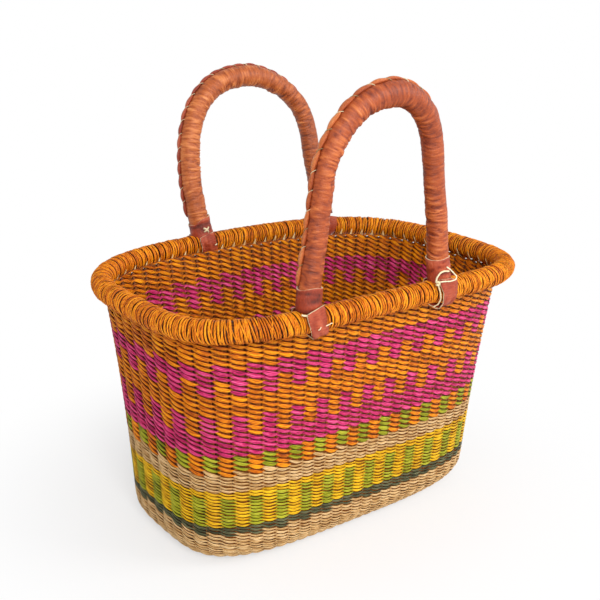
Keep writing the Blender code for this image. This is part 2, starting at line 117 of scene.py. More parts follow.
# Noise over the lay map: its scales along, round and across, its detail and its roughness
STREAKS = ((0.10, 9.0, 1.0), 3.0, 0.6)
FIBRES = ((0.35, 42.0, 1.0), 2.0, 0.5)
CLOUDS = ((0.05, 3.0, 1.0), 4.0, 0.6)
WRINKLES = ((0.75, 7.0, 1.0), 3.0, 0.55)
PORES = ((2.6, 160.0, 1.0), 2.0, 0.6)


def new_material(name):
    """Empty node material with its shader."""
    material = bpy.data.materials.new(name)
    material.use_nodes = True
    return material, material.node_tree, material.node_tree.nodes["Principled BSDF"]


def lay_and_tint(tree):
    """Lay map and tint of a tube."""
    lay = tree.nodes.new("ShaderNodeUVMap")
    lay.uv_map = "lay"
    tint = tree.nodes.new("ShaderNodeAttribute")
    tint.attribute_name = "tint"
    return lay.outputs["UV"], tint.outputs["Fac"]


def ramp(tree, source, stops):
    """Colour ramp over a value; a stop has a colour or a share of white."""
    node = tree.nodes.new("ShaderNodeValToRGB")
    elements = node.color_ramp.elements
    while len(elements) < len(stops):
        elements.new(0.5)
    for element, (place, colour) in zip(elements, stops):
        element.position = place
        element.color = colour if isinstance(colour, tuple) else (colour, colour, colour, 1)
    tree.links.new(source, node.inputs["Fac"])
    return node.outputs["Color"]


def noise(tree, vector, kind):
    """Value of a noise texture over stretched coordinates."""
    scale, detail, roughness = kind
    stretch = tree.nodes.new("ShaderNodeMapping")
    stretch.inputs["Scale"].default_value = scale
    tree.links.new(vector, stretch.inputs["Vector"])
    node = tree.nodes.new("ShaderNodeTexNoise")
    for socket, value in (("Scale", 1.0), ("Detail", detail), ("Roughness", roughness)):
        node.inputs[socket].default_value = value
    tree.links.new(stretch.outputs["Vector"], node.inputs["Vector"])
    return node.outputs["Fac"]


def math_node(tree, operation, *values):
    """Sum, product or other arithmetic of values."""
    node = tree.nodes.new("ShaderNodeMath")
    node.operation = operation
    for socket, value in zip(node.inputs, values):
        if isinstance(value, (int, float)):
            socket.default_value = value
        else:
            tree.links.new(value, socket)
    return node.outputs["Value"]


def add_up(tree, value, *parts):
    """A value plus other values times their shares."""
    for part, share in parts:
        value = math_node(tree, "ADD", value, math_node(tree, "MULTIPLY", part, share))
    return value


def finish(tree, shader, colour, rough, height, relief, specular):
    """Give a shader its colour, roughness, specular level and relief, a strength and a distance."""
    bump = tree.nodes.new("ShaderNodeBump")
    for socket, value in zip(("Strength", "Distance"), relief):
        bump.inputs[socket].default_value = value
    tree.links.new(height, bump.inputs["Height"])
    for socket, value in (("Base Color", colour), ("Roughness", rough), ("Normal", bump.outputs["Normal"])):
        tree.links.new(value, shader.inputs[socket])
    shader.inputs["Specular IOR Level"].default_value = specular


def straw_material(name, shades, plies=3, twist=0.0, groove_shade=GROOVE_SHADE):
    """Split, twisted grass: streaks along the straw, which are its own streaky tone and also painted highlights and
    shade, painted shade in its grooves and at its edges, and a tint of its own for each stitch.
    """
    material, tree, shader = new_material(name)
    shadow, body, light = (linear(*shade) for shade in shades)
    crease = (*(CREASE_SHADE_SHARE * value for value in shadow[:3]), 1)
    lay, tint = lay_and_tint(tree)
    split = tree.nodes.new("ShaderNodeSeparateXYZ")
    tree.links.new(lay, split.inputs["Vector"])
    along, turn = split.outputs["X"], split.outputs["Y"]
    spun = tree.nodes.new("ShaderNodeCombineXYZ")
    tree.links.new(along, spun.inputs["X"])
    tree.links.new(add_up(tree, turn, (along, twist)), spun.inputs["Y"])
    streaks, fibres = (noise(tree, spun.outputs["Vector"], kind) for kind in (STREAKS, FIBRES))
    groove = math_node(tree, "ABSOLUTE", math_node(
        tree, "SINE", math_node(tree, "MULTIPLY", turn, 2 * math.pi * plies)))
    mix = add_up(tree, -0.41, (streaks, 1.5), (fibres, 0.40), (tint, 0.34))
    # Painted shade: darker in the grooves between the plies and at the edges of the section
    for shade in (ramp(tree, groove, groove_shade), ramp(tree, turn, ROUND_SHADE)):
        mix = math_node(tree, "MULTIPLY", mix, shade)
    # From the painted shade of a crease through the painted shadow and the body colour to the painted highlight
    colour = ramp(tree, mix, ((0.18, crease), (0.40, shadow), (0.64, body), (0.90, light)))
    finish(tree, shader, colour, add_up(tree, 0.38, (fibres, 0.3)), add_up(tree, streaks, (fibres, 0.4)),
           (0.75, 0.0006), 0.20)
    return material


FINE_STRAWS = {dye: straw_material("fine_straw_" + dye, shades, 2) for dye, shades in DYES.items()}
COARSE_STRAWS = {dye: straw_material("coarse_straw_" + dye, shades) for dye, shades in DYES.items()}
# Rim straw: a painted shadow, its body colour and a painted highlight, with painted shade between the turns
RIM_STRAW = straw_material("rim_straw", ((126, 54, 2), (212, 105, 2), (250, 162, 24)), 1, 0.07, WOUND_SHADE)
# Dark straw as painted shade: the sheets behind the gaps of the weave, the core seen between the rim's turns, and the
# cores of the handles
PAINTED_SHADE_STRAW = straw_material("painted_shade_straw", ((72, 32, 4), (122, 62, 10), (152, 86, 20)), 9)

OVAL_STEPS = 2880
SMALL_RISE = 0.00002
SMALL_SHARE = 0.001


def unit(vectors):
    """Vectors of length 1."""
    return vectors / np.linalg.norm(vectors, axis=-1, keepdims=True)


def walk(points):
    """Distance walked along a line at each of its points."""
    return np.concatenate([[0], np.cumsum(np.linalg.norm(np.diff(points, axis=0), axis=1))])


def circle(count):
    """Angles of the corners of a section."""
    return np.arange(count) / count * 2 * np.pi


def swept(centre, across, outward, wide, deep):
    """Rings of points round a line, from their distances across it and outwards."""
    return centre[:, None] + wide[..., None] * across[:, None] + deep[..., None] * outward[:, None]


def oval(half_length, half_width, power, shares):
    """Points of a superellipse at shares of its girth, counter-clockwise from +X."""
    turn = np.linspace(0, 2 * np.pi, OVAL_STEPS + 1)
    line = np.stack([half * np.sign(part) * np.abs(part) ** (2 / power)
                     for half, part in ((half_length, np.cos(turn)), (half_width, np.sin(turn)))], -1)
    walked = walk(line)
    return (np.interp(np.asarray(shares) % 1 * walked[-1], walked, part) for part in line.T)


def through(foot, waist, top, rise):
    """Value at a share of the wall's height of the parabola through its three sizes."""
    return (foot * (1 - rise) * (1 - 2 * rise) + 4 * waist * rise * (1 - rise)
            + top * rise * (2 * rise - 1))


def drawn_in(x, left, right):
    """Lengthwise places with the basket's two ends drawn in by these distances."""
    outer = np.clip((np.abs(x) - END_START) / END_REACH, 0, None) ** END_POWER
    return x + np.where(x < 0, left, -right) * outer


def wall_ring(height, shares):
    """Points of the wall's outer surface at a height; the row over WALL_TOP closes up to the rim."""
    rise = min(height, WALL_TOP) / WALL_TOP
    inset = 0.0
    if height < FOOT_FILLET:
        inset = FOOT_FILLET - math.sqrt(FOOT_FILLET ** 2 - (FOOT_FILLET - height) ** 2)
    half_length = through(FOOT_HALF_LENGTH, WAIST_HALF_LENGTH, TOP_HALF_LENGTH, rise) - inset
    half_width = through(FOOT_HALF_WIDTH, WAIST_HALF_WIDTH, TOP_HALF_WIDTH, rise) - inset
    x, y = oval(half_length, half_width, FOOT_POWER + (RIM_POWER - FOOT_POWER) * rise, shares)
    level = height - rise * RIM_END_DROP * (x / RIM_HALF_LENGTH) ** 2
    level = level - max(height - WALL_TOP, 0) * TOP_ROW_SQUEEZE * np.abs(x / RIM_HALF_LENGTH) ** 4
    backward = np.clip(y / half_width, 0, 1) * np.clip((BACK_LIFT_START - x) / BACK_LIFT_REACH, 0, 1)
    level = level + BACK_LEFT_LIFT * rise ** 2 * backward
    left = through(LEFT_END_IN, LEFT_END_IN, TOP_LEFT_END_IN, rise)
    return np.stack([drawn_in(x, left, TOP_RIGHT_END_IN * rise), y, level], -1)


def wall_frame(height, shares):
    """Middle of the wall with its directions along the girth, outwards and up, at a height."""
    here = wall_ring(height, shares)
    along = unit(wall_ring(height, np.asarray(shares) + SMALL_SHARE) - here)
    outward = unit(np.cross(along, wall_ring(height + SMALL_RISE, shares) - here))
    return here - outward * WALL_THICKNESS / 2, along, outward, np.cross(outward, along)


def stake_share(stake):
    """Share of the girth at which a stake stands, from the middle of the front."""
    stake = np.asarray(stake, float)
    turn = 2 * np.pi * stake / STAKES
    drift = np.cos(turn - SLOW_TURN) - np.cos(2 * turn - QUICK_TURN)
    return FIRST_STAKE + stake / STAKES + DRIFT * drift


BAKE_EDGE = 0.004
BAKE_MARGIN = 0.12
BAKE_SPARE = 0.999
FOLDS = 3


class Form:
    """Tubes gathered into one mesh with a lay map, a bake map, tints and a material for each face."""

    def __init__(self):
        self.points, self.tints, self.quads, self.slots = [], [], [], []
        self.lay, self.bake, self.ends = [], [], []
        self.count = 0

    def tube(self, rings, closed, slots, tints, lengths, cell):
        """Add a tube through rings of points; cell is its first line in the bake map, all lines and its folds."""
        steps, sides = rings.shape[:2]
        spans = steps if closed else steps - 1
        start = np.arange(spans)[:, None] * sides
        first, beside = start + np.arange(sides), start + (np.arange(sides) + 1) % sides
        onward, across = ((corner + sides) % (steps * sides) for corner in (first, beside))
        quads = np.stack([first, onward, across, beside], -1).reshape(-1, 4) + self.count
        spokes = rings[0] - rings[0].mean(0)
        facing = np.cross(spokes, np.roll(spokes, -1, 0)).sum(0) @ (rings[1].mean(0) - rings[0].mean(0))
        order = [0, 3, 2, 1] if facing > 0 else [0, 1, 2, 3]
        self.points.append(rings.reshape(-1, 3))
        self.quads.append(quads[:, order])
        self.tints.append(self.spread(tints, steps, sides))
        self.slots.append(self.spread(slots, steps, sides)[:spans * sides])
        for parts, grid in ((self.lay, self.corners(lengths[:spans], lengths[1:spans + 1], sides)),
                            (self.bake, self.laid_flat(spans, sides, *cell))):
            parts.append(grid.reshape(-1, 4, 2)[:, order].reshape(-1, 2))
        if not closed:
            end = np.arange(sides)[::-1 if facing > 0 else 1] + self.count
            self.ends += [end, end[::-1] + (steps - 1) * sides]
        self.count += steps * sides

    @staticmethod
    def spread(values, steps, sides):
        """One value, a value for each ring, or one for each ring and side, as one list."""
        values = np.asarray(values)
        return np.broadcast_to(values[:, None] if values.ndim == 1 else values, (steps, sides)).ravel()

    @staticmethod
    def corners(start, end, sides):
        """Corner coordinates of a grid of faces, in the order in which the faces are made."""
        low, high = np.arange(sides) / sides, (np.arange(sides) + 1) / sides
        across = np.stack([start, end, end, start], -1)[:, None]
        return np.stack(np.broadcast_arrays(across, np.stack([low, low, high, high], -1)), -1)

    def laid_flat(self, spans, sides, line, lines, folds):
        """Bake map: the tube laid flat in its lines, folded into columns of the square."""
        share = np.arange(spans) / spans * folds
        fold = np.minimum(np.floor(share + 1e-9), folds - 1)
        grid = self.corners(share - fold, share - fold + folds / spans, sides)
        grid[..., 0] = BAKE_EDGE + (1 - 2 * BAKE_EDGE) * grid[..., 0]
        grid[..., 1] = (line + fold[:, None, None] + BAKE_MARGIN / 2 + (1 - BAKE_MARGIN) * grid[..., 1]) / lines
        return grid

    def build(self, name, materials):
        """Make the object."""
        quads = np.concatenate(self.quads)
        totals = np.array([4] * len(quads) + [len(end) for end in self.ends])
        spare = (sum(map(len, self.ends)), 2)
        mesh = bpy.data.meshes.new(name)
        mesh.vertices.add(self.count)
        mesh.loops.add(int(totals.sum()))
        mesh.polygons.add(len(totals))
        for items, field, values, kind in (
                (mesh.vertices, "co", np.concatenate(self.points), np.float32),
                (mesh.loops, "vertex_index", np.concatenate([quads.ravel(), *self.ends]), np.int32),
                (mesh.polygons, "loop_start", np.cumsum(totals) - totals, np.int32),
                (mesh.polygons, "loop_total", totals, np.int32),
                (mesh.polygons, "material_index",
                 np.concatenate([*self.slots, np.full(len(self.ends), self.slots[-1][-1])]), np.int32),
                (mesh.polygons, "use_smooth", np.full(len(totals), True), bool)):
            items.foreach_set(field, values.astype(kind).ravel())
        for layer, maps, filler in (("lay", self.lay, 0), ("OFBake", self.bake, BAKE_SPARE)):
            values = np.concatenate([*maps, np.full(spare, filler)]).astype(np.float32)
            mesh.uv_layers.new(name=layer).data.foreach_set("uv", values.ravel())
        tint = mesh.attributes.new("tint", "FLOAT", "POINT")
        tint.data.foreach_set("value", np.concatenate(self.tints).astype(np.float32))
        for material in materials:
            mesh.materials.append(material)
        mesh.update()
        mesh.validate()
        thing = bpy.data.objects.new(name, mesh)
        bpy.context.scene.collection.objects.link(thing)
        return thing


def settle(form, name, materials, body, slot, *nodes):
    """Build a piece and put it on its body, hiding the nodes that it stands for; its finish, slot, is not used."""
    thing = form.build(name, materials)
    if nodes:
        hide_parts(*nodes)
    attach(thing, body)


# The twined weave: the slant of a stitch, its half width on and between stakes, its steps and its depth
FINE = {"rise": 0.00135, "half": 0.00145, "half_at_cross": 0.00036, "plies": 2, "steps": 7, "depth": 0.00115,
        "sag": 0.00035}
COARSE = {"rise": 0.00235, "half": 0.00219, "half_at_cross": 0.00058, "plies": 3, "steps": 7, "depth": 0.00130,
          "sag": 0.00015}
BASE = {**FINE, "half": 0.00190, "half_at_cross": 0.00110, "steps": 5}
STRAW_THICKNESS = 0.00108
PLY_GROOVE = 0.50
CROWN_FALL = 0.62
FRONT_REACH = 0.58
TAIL_TURN = 0.16
SLANT_EASE = 0.92
STITCH_LAG = 0.09
FULLNESS_POWER = 0.80
THINNING = 0.08
SKEW = 0.35
SKEW_STAKES = 5.2
# Spread of the stitches' widths and heights, their tints, the tint of painted shade where a straw crosses between two
# stakes, and where a lay may start
PLUMPNESS_SPREAD = 0.10
STRAY_HEIGHT = 0.00016
STITCH_TINT = 0.60
STITCH_TINT_SPREAD = 0.18
CROSSING_SHADE_TINT = 0.22
LONGEST_START = 500


def ply_section(plies, skew, width, thickness):
    """Offsets of straws that lie side by side in one flat strand, at each step: across and outward."""
    spots = np.linspace(-1, 1, 2 * plies + 1)
    crown = np.where(np.arange(2 * plies + 1) % 2 == 1, 1.0, PLY_GROOVE) * np.sqrt(1 - CROWN_FALL * spots ** 2)
    crown[[0, -1]] = 0.0
    sideways = np.concatenate([spots, spots[-2:0:-1]])
    outwards = np.concatenate([crown, -crown[-2:0:-1]])
    return sideways * width[:, None], (outwards + skew[:, None] * sideways) * thickness[:, None]


def strand(form, height, weft, parity, dyes, cell, ring=wall_frame, stakes=STAKES):
    """One straw of a twined pair: over one stake, behind the next, slanting down to the right."""
    place = np.arange(stakes * weft["steps"]) / weft["steps"]
    middle, _, outward, upward = ring(height, stake_share(place * (STAKES // stakes)))
    spot = (place - parity + 1) % 2 - 1
    turn = np.pi * np.interp(spot, [-1, -FRONT_REACH, FRONT_REACH, 1], [-1, -0.5, 0.5, 1])
    front = np.cos(turn - TAIL_TURN)
    slant = np.arcsin(SLANT_EASE * np.sin(turn)) / np.arcsin(SLANT_EASE)
    stitch = np.round(place - STITCH_LAG).astype(int) % stakes
    plump = 1 + PLUMPNESS_SPREAD * rng.standard_normal(stakes)
    stray = STRAY_HEIGHT * rng.standard_normal(stakes)
    own_tint = np.clip(STITCH_TINT + STITCH_TINT_SPREAD * rng.standard_normal(stakes), 0, 1.1)
    weight = np.abs(front) ** FULLNESS_POWER
    # Painted shade where the straw turns in between the stakes: its tint falls there to the crossing tint
    unshaded_share = np.clip(5 * np.abs(front), 0, 1)
    half = weft["half_at_cross"] + (weft["half"] * plump[stitch] - weft["half_at_cross"]) * weight
    rise = stray[stitch] * weight - weft["rise"] * slant - weft["sag"] * np.cos(2 * np.pi * place)
    centre = middle + outward * (weft["depth"] * front)[:, None] + upward * rise[:, None]
    run = unit(np.roll(centre, -1, 0) - np.roll(centre, 1, 0))
    across = unit(np.cross(outward, run))
    thick = STRAW_THICKNESS * (1 - THINNING + THINNING * weight)
    skew = SKEW * np.sin(2 * np.pi * place / SKEW_STAKES + rng.uniform(0, 6.28))
    wide, deep = ply_section(weft["plies"], skew, half, thick)
    lengths = walk(np.vstack([centre, centre[:1]])) * 1000 + rng.uniform(0, LONGEST_START)
    form.tube(swept(centre, across, np.cross(run, across), wide, deep), True, dyes[stitch],
              own_tint[stitch] * unshaded_share + CROSSING_SHADE_TINT * (1 - unshaded_share), lengths, cell)


def height_at(arc):
    """Height of a point on the wall's profile at this distance from where the base turns up."""
    if arc < FOOT_TURN:
        return FOOT_FILLET * (1 - math.cos(arc / FOOT_FILLET))
    return FOOT_FILLET + arc - FOOT_TURN


def plain(dye):
    """Both straws of a row in one dye."""
    return lambda share, parity: dye


def columns(even, odd):
    """A dye that shows on even stakes and one that shows on odd stakes."""
    return lambda share, parity: odd if parity else even


def left_of(limit, left, right):
    """One pattern on the left of the front up to this share, and another from there on."""
    return lambda share, parity: (left if 0.25 < share < limit else right)(share, parity)


# Rows: the bands start at BANDS_BASE, and the top band has one coarse row more than reaches WALL_TOP
BANDS_BASE = 0.0326
FINE_ROWS = 19
COARSE_ROWS = 26
COARSE_SHARE = 1.509
FINE_ROW = (WALL_TOP - BANDS_BASE) / (FINE_ROWS + COARSE_SHARE * COARSE_ROWS)
COARSE_ROW = COARSE_SHARE * FINE_ROW
FOOT_TURN = FOOT_FILLET * math.pi / 2
FOOT_ARC = FOOT_TURN + BANDS_BASE - FOOT_FILLET
FOOT_ROWS = 14
EDGE_ROWS = 7
ORANGE, MAGENTA, YELLOW, NATURAL, DARK = map(plain, ("orange", "magenta", "yellow", "natural", "dark"))
COLUMNS = columns("orange", "magenta")
CHECKS = columns("orange", "green")
BANDS = (
    ("dark_band", "dark_straw", FINE, [left_of(0.74, columns("dark", "natural"), DARK), DARK, DARK]),
    ("yellow_green_band", "yellow_straw", FINE, [columns("green", "yellow")] * 9 + [YELLOW] * 2),
    ("pale_band", "natural_straw", FINE, [NATURAL] * 5),
    ("check_band", "green_straw", COARSE, [left_of(0.72, columns("orange", "natural"), CHECKS)] + [CHECKS] * 3),
    ("lower_magenta_band", "magenta_straw", COARSE, [MAGENTA] * 4 + [COLUMNS] * 4),
    ("middle_orange_band", "orange_straw", COARSE, [ORANGE] * 4),
    ("upper_magenta_band", "magenta_straw", COARSE,
     [COLUMNS] * 3 + [MAGENTA] * 2 + [left_of(0.71, columns("magenta", "orange"), MAGENTA)]),
    ("top_orange_band", "orange_straw", COARSE, [ORANGE] * 5),
)


def weave(node, slot, weft, heights, patterns):
    """The twined rows that stand for one band."""
    form = Form()
    shares = stake_share(np.arange(STAKES)) % 1
    rows = [[pattern(share, parity) for share in shares] for pattern in patterns for parity in (0, 1)]
    palette = sorted({dye for row in rows for dye in row})
    for line, row in enumerate(rows):
        strand(form, heights[line // 2], weft, line % 2, np.array([palette.index(dye) for dye in row]),
               (line * FOLDS, len(rows) * FOLDS, FOLDS))
    straws = COARSE_STRAWS if weft is COARSE else FINE_STRAWS
    settle(form, node.removesuffix("_band") + "_weave", [straws[dye] for dye in palette], "basket", slot, node)


def make_wall():
    """All rows of the wall, from the base's edge to the top."""
    heights = [height_at((row + 0.5) * FOOT_ARC / FOOT_ROWS) for row in range(FOOT_ROWS)]
    weave("base_edge", "natural_straw", FINE, heights[:EDGE_ROWS], [NATURAL] * EDGE_ROWS)
    weave("foot_band", "natural_straw", FINE, heights[EDGE_ROWS:], [NATURAL] * (FOOT_ROWS - EDGE_ROWS))
    low = BANDS_BASE
    for node, slot, weft, patterns in BANDS:
        pitch = COARSE_ROW if weft is COARSE else FINE_ROW
        weave(node, slot, weft, [low + (row + 0.5) * pitch for row in range(len(patterns))], patterns)
        low += pitch * len(patterns)


BASE_ROW = 0.0034
BASE_ROWS = 20
WIDE_BASE_ROWS = 9
PLAIT_STEPS = 61
PLAIT_HALF_WIDTH = 0.0013
PLAIT_HALF_THICKNESS = 0.0009
PLAIT_SWING = 0.0011


def base_line(inset, shares):
    """Points of the base mat's middle at an inset from its edge."""
    x, y = oval(BASE_HALF_LENGTH - inset, BASE_HALF_WIDTH - inset, FOOT_POWER, shares)
    return np.stack([drawn_in(x, LEFT_END_IN, 0.0), y, np.full(len(x), WALL_THICKNESS / 2)], -1)


def base_frame(inset, shares):
    """Middle of the base mat with its directions along the girth, downwards and out to the edge."""
    here = base_line(inset, shares)
    along = unit(base_line(inset, shares + SMALL_SHARE) - here)
    downward = np.tile((0.0, 0.0, -1.0), (len(here), 1))
    return here, along, downward, np.cross(downward, along)


def make_base():
    """Oval rows of the base, closed along the middle by a short straight plait."""
    form = Form()
    lines = 2 * (BASE_ROWS + 2) * FOLDS
    for row in range(BASE_ROWS):
        for parity in (0, 1):
            strand(form, (row + 0.5) * BASE_ROW, BASE, parity, np.zeros(STAKES, int),
                   ((2 * row + parity) * FOLDS, lines, FOLDS), base_frame,
                   STAKES if row < WIDE_BASE_ROWS else STAKES // 2)
    half = BASE_HALF_LENGTH - BASE_ROWS * BASE_ROW
    x = np.linspace(-half, half, PLAIT_STEPS)
    wide, deep = ply_section(2, 0 * x, 0 * x + PLAIT_HALF_WIDTH, 0 * x + PLAIT_HALF_THICKNESS)
    for line, side in enumerate((-1, 1)):
        turn = x / half * np.pi * 8 + side * np.pi / 2
        centre = np.stack([x, PLAIT_SWING * np.sin(turn),
                           WALL_THICKNESS / 2 + PLAIT_HALF_THICKNESS * np.cos(turn)], -1)
        rings = swept(centre, np.array([(0.0, 1.0, 0.0)]), np.array([(0.0, 0.0, 1.0)]), wide, deep)
        form.tube(rings, False, 0, 0.5, (x + half) * 1000, ((2 * BASE_ROWS + line) * FOLDS, lines, FOLDS))
    settle(form, "base_weave", [FINE_STRAWS["natural"]], "basket", "natural_straw", "base_mat")


# Stakes: a wide dark sheet in the weave, painted shade behind its gaps, and a pale end that bends into the rim,
# except where a loop hangs
STAKE_HALF_WIDTH = 0.0015
STAKE_END_WIDENING = 1.5
STAKE_TIP_SHARE = 0.10
STAKE_SHADE_SHEET_HALF_WIDTH = 0.0084
STAKE_HALF_THICKNESS = 0.00042
STAKE_TIP_ANGLE = math.radians(2)
STAKE_BEND_ANGLE = math.radians(46)
STAKE_TIP_LIFT = 0.0013
STAKE_START = 0.0015
STAKE_WALL_START = 0.06
STAKE_END_START = 0.002
MEAN_STAKE_GAP = 0.0153
LOOP_PLACES = ((-0.0965, -1), (0.0500, -1), (-0.0390, 1), (0.1160, 1))
LOOP_CLEARANCE = 0.0125


def rim_line(shares):
    """Centreline of the rim."""
    x, y = oval(RIM_HALF_LENGTH, RIM_HALF_WIDTH, RIM_POWER, shares)
    level = RIM_HEIGHT - RIM_END_DROP * (x / RIM_HALF_LENGTH) ** 2 - BACK_RIM_SAG * np.clip(y / RIM_HALF_WIDTH, 0, 1)
    return np.stack([drawn_in(x, LEFT_END_IN, RIM_RIGHT_END_IN), y, level], -1)


def rim_frame(shares):
    """Centreline of the rim with its directions along, outwards and up."""
    here = rim_line(shares)
    along = unit(rim_line(shares + SMALL_SHARE / 2) - here)
    outward = unit(np.cross(along, np.array((0.0, 0.0, 1.0))))
    return here, along, outward, np.cross(outward, along)


def flat_tube(form, centre, across, outward, widths, depth, slots, tint, cell, sides=6):
    """Add a flat straw with rounded edges along a line of points."""
    angle = circle(sides)
    rings = swept(centre, across, outward, np.cos(angle) * widths[:, None], np.sin(angle) * depth)
    form.tube(rings, False, slots, tint, walk(centre) * 1000 + rng.uniform(0, LONGEST_START), cell)


def make_stakes():
    """Upright straws inside the weave, widened there into dark sheets of painted shade behind its gaps, whose pale
    ends run up into the rim.
    """
    form = Form()
    shares = stake_share(np.arange(STAKES))
    top = WALL_TOP + COARSE_ROW - FOOT_FILLET + FOOT_TURN
    arcs = [*np.linspace(STAKE_START, FOOT_TURN, 7), *np.linspace(STAKE_WALL_START, top - STAKE_END_START, 10), top]
    bundle = len(arcs)
    frames = np.array([wall_frame(height_at(arc), shares)[:3] for arc in arcs])
    rim, _, rim_out, rim_up = rim_frame(shares)
    tips, bends = (rim - (rim_out * math.cos(angle) + rim_up * math.sin(angle)) * (RIM_RADIUS + STAKE_TIP_LIFT)
                   for angle in (STAKE_TIP_ANGLE, STAKE_BEND_ANGLE))
    gaps = np.linalg.norm(np.roll(rim, -1, 0) - rim, axis=1)
    room = np.minimum(gaps, np.roll(gaps, 1)) / MEAN_STAKE_GAP
    for stake in range(STAKES):
        centre, across, outward = (frames[:, part, stake] for part in range(3))
        if not any(abs(tips[stake, 0] - x) < LOOP_CLEARANCE and tips[stake, 1] * side > 0 for x, side in LOOP_PLACES):
            centre = np.vstack([centre, bends[stake], tips[stake]])
            across, outward = (np.vstack([part, part[-1], part[-1]]) for part in (across, outward))
        count = len(centre)
        widths = STAKE_HALF_WIDTH * (1 + 0.15 * rng.standard_normal(count).clip(-1, 1))
        # In the weave a stake is a wide sheet of the dark straw, painted shade behind the gaps
        widths[:bundle - 1] = STAKE_SHADE_SHEET_HALF_WIDTH * room[stake]
        widths[bundle - 1:] *= STAKE_END_WIDENING
        widths[-1] *= STAKE_TIP_SHARE
        flat_tube(form, centre, across, outward, widths, STAKE_HALF_THICKNESS,
                  (np.arange(count) < bundle - 1).astype(int), rng.uniform(0.5, 1.0), (stake, STAKES, 1))
    settle(form, "wall_stakes", [FINE_STRAWS["natural"], PAINTED_SHADE_STRAW], "basket", "natural_straw")


# Rim
TURNS = 450
TURN_STEPS = 22
RIM_GIRTH = 1.104
WOUND_THICKNESS = 0.00115
WOUND_LEAN = 0.0008
WOUND_FILL = 0.86
WOUND_SWING = 0.00030
RIM_LINES = 36
RIM_FOLDS = 30
CROSSING_STRAWS = 260
CROSSING_STEPS = 12
CROSSING_LIFT = 0.0008
CROSSING_LEAN = 0.002
RIM_BUNDLE_STEPS = 240
RIM_BUNDLE_RADIUS = 0.0086


def wound_line(places, angles, lift, lean):
    """Points on the rim's roll at shares of its girth and angles round it, and outward directions there."""
    here, along, outward, upward = rim_frame(places)
    radial = np.cos(angles)[:, None] * outward + np.sin(angles)[:, None] * upward
    offset = -lean * np.sin(angles)
    lifted = np.broadcast_to(RIM_RADIUS - WOUND_THICKNESS + lift, angles.shape)
    return here + along * offset[:, None] + radial * lifted[:, None], radial


def wander(places, knots, size):
    """Smooth random swings along a line, with this many knots to each unit of places."""
    count = int(np.ceil(places[-1] * knots)) + 2
    values = np.clip(rng.standard_normal(count), -2, 2) * size
    values[-2:] = values[0]
    first = np.floor(places * knots).astype(int)
    part = places * knots - first
    part = part * part * (3 - 2 * part)
    return values[first] * (1 - part) + values[np.minimum(first + 1, count - 1)] * part


def make_rim():
    """Grass wound on the rim's roll, with a few straws that cross it."""
    form = Form()
    widths = np.clip(1 + 0.22 * rng.standard_normal(TURNS), 0.6, 1.6)
    count = TURNS * TURN_STEPS
    turn = np.arange(count) / TURN_STEPS
    places = FIRST_STAKE + np.interp(turn, np.arange(TURNS + 1), [0, *np.cumsum(widths) / widths.sum()])
    sway = 0.0008 * np.sin(2 * np.pi * places * 5) + 0.0006 * np.sin(2 * np.pi * places * 13)
    loose = wander(turn, 2.3, WOUND_SWING)
    places = places + wander(turn, 4.3, WOUND_SWING) / RIM_GIRTH
    centre, radial = wound_line(places, np.pi / 2 - 2 * np.pi * turn, loose, WOUND_LEAN + sway)
    run = unit(np.roll(centre, -1, 0) - np.roll(centre, 1, 0))
    pitch = np.interp(turn, np.arange(TURNS), widths) * RIM_GIRTH / TURNS
    half = pitch / 2 * (WOUND_FILL + wander(turn, 3.7, 0.12))
    corner = circle(8)
    rings = swept(centre, unit(np.cross(run, radial)), radial, half[:, None] * np.cos(corner),
                  WOUND_THICKNESS * np.sin(corner))
    own = np.clip(0.5 + 0.32 * rng.standard_normal(TURNS + 1), 0, 1.1)
    form.tube(rings, True, 0, np.interp(turn, np.arange(TURNS + 1), own),
              np.arange(count + 1) * (2 * math.pi * RIM_RADIUS * 1000 / TURN_STEPS), (0, RIM_LINES, RIM_FOLDS))
    for index in range(CROSSING_STRAWS):
        angle = np.linspace(rng.uniform(1.9, 2.6), rng.uniform(-1.2, -0.4), CROSSING_STEPS)
        places = rng.uniform(0, 1) + np.linspace(-1, 1, CROSSING_STEPS) * rng.uniform(-0.0055, 0.003)
        centre, radial = wound_line(places, angle, CROSSING_LIFT, CROSSING_LEAN)
        run = unit(np.gradient(centre, axis=0))
        half = np.full(CROSSING_STEPS, rng.uniform(0.0004, 0.0008))
        half[[0, -1]] *= 0.3
        flat_tube(form, centre, unit(np.cross(run, radial)), radial, half, 0.0004, 0, rng.uniform(0.2, 1.1),
                  (RIM_FOLDS + 1 + index % 5, RIM_LINES, 1), 5)
    settle(form, "rim_winding", [RIM_STRAW], "basket", "orange_straw", "rim_wrap")


def make_rim_bundle():
    """Bundle of grass inside the rim, in the dark straw that is painted shade between the wound turns."""
    form = Form()
    here, _, outward, upward = rim_frame(np.arange(RIM_BUNDLE_STEPS) / RIM_BUNDLE_STEPS)
    angle = circle(18)
    radius = RIM_BUNDLE_RADIUS * (1 + 0.04 * np.cos(9 * angle))
    rings = swept(here, outward, upward, np.cos(angle) * radius, np.sin(angle) * radius)
    form.tube(rings, True, 0, 0.1, np.arange(RIM_BUNDLE_STEPS + 1) * 4.6, (0, 4, 4))
    settle(form, "rim_bundle", [PAINTED_SHADE_STRAW], "basket", "natural_straw", "rim_core")


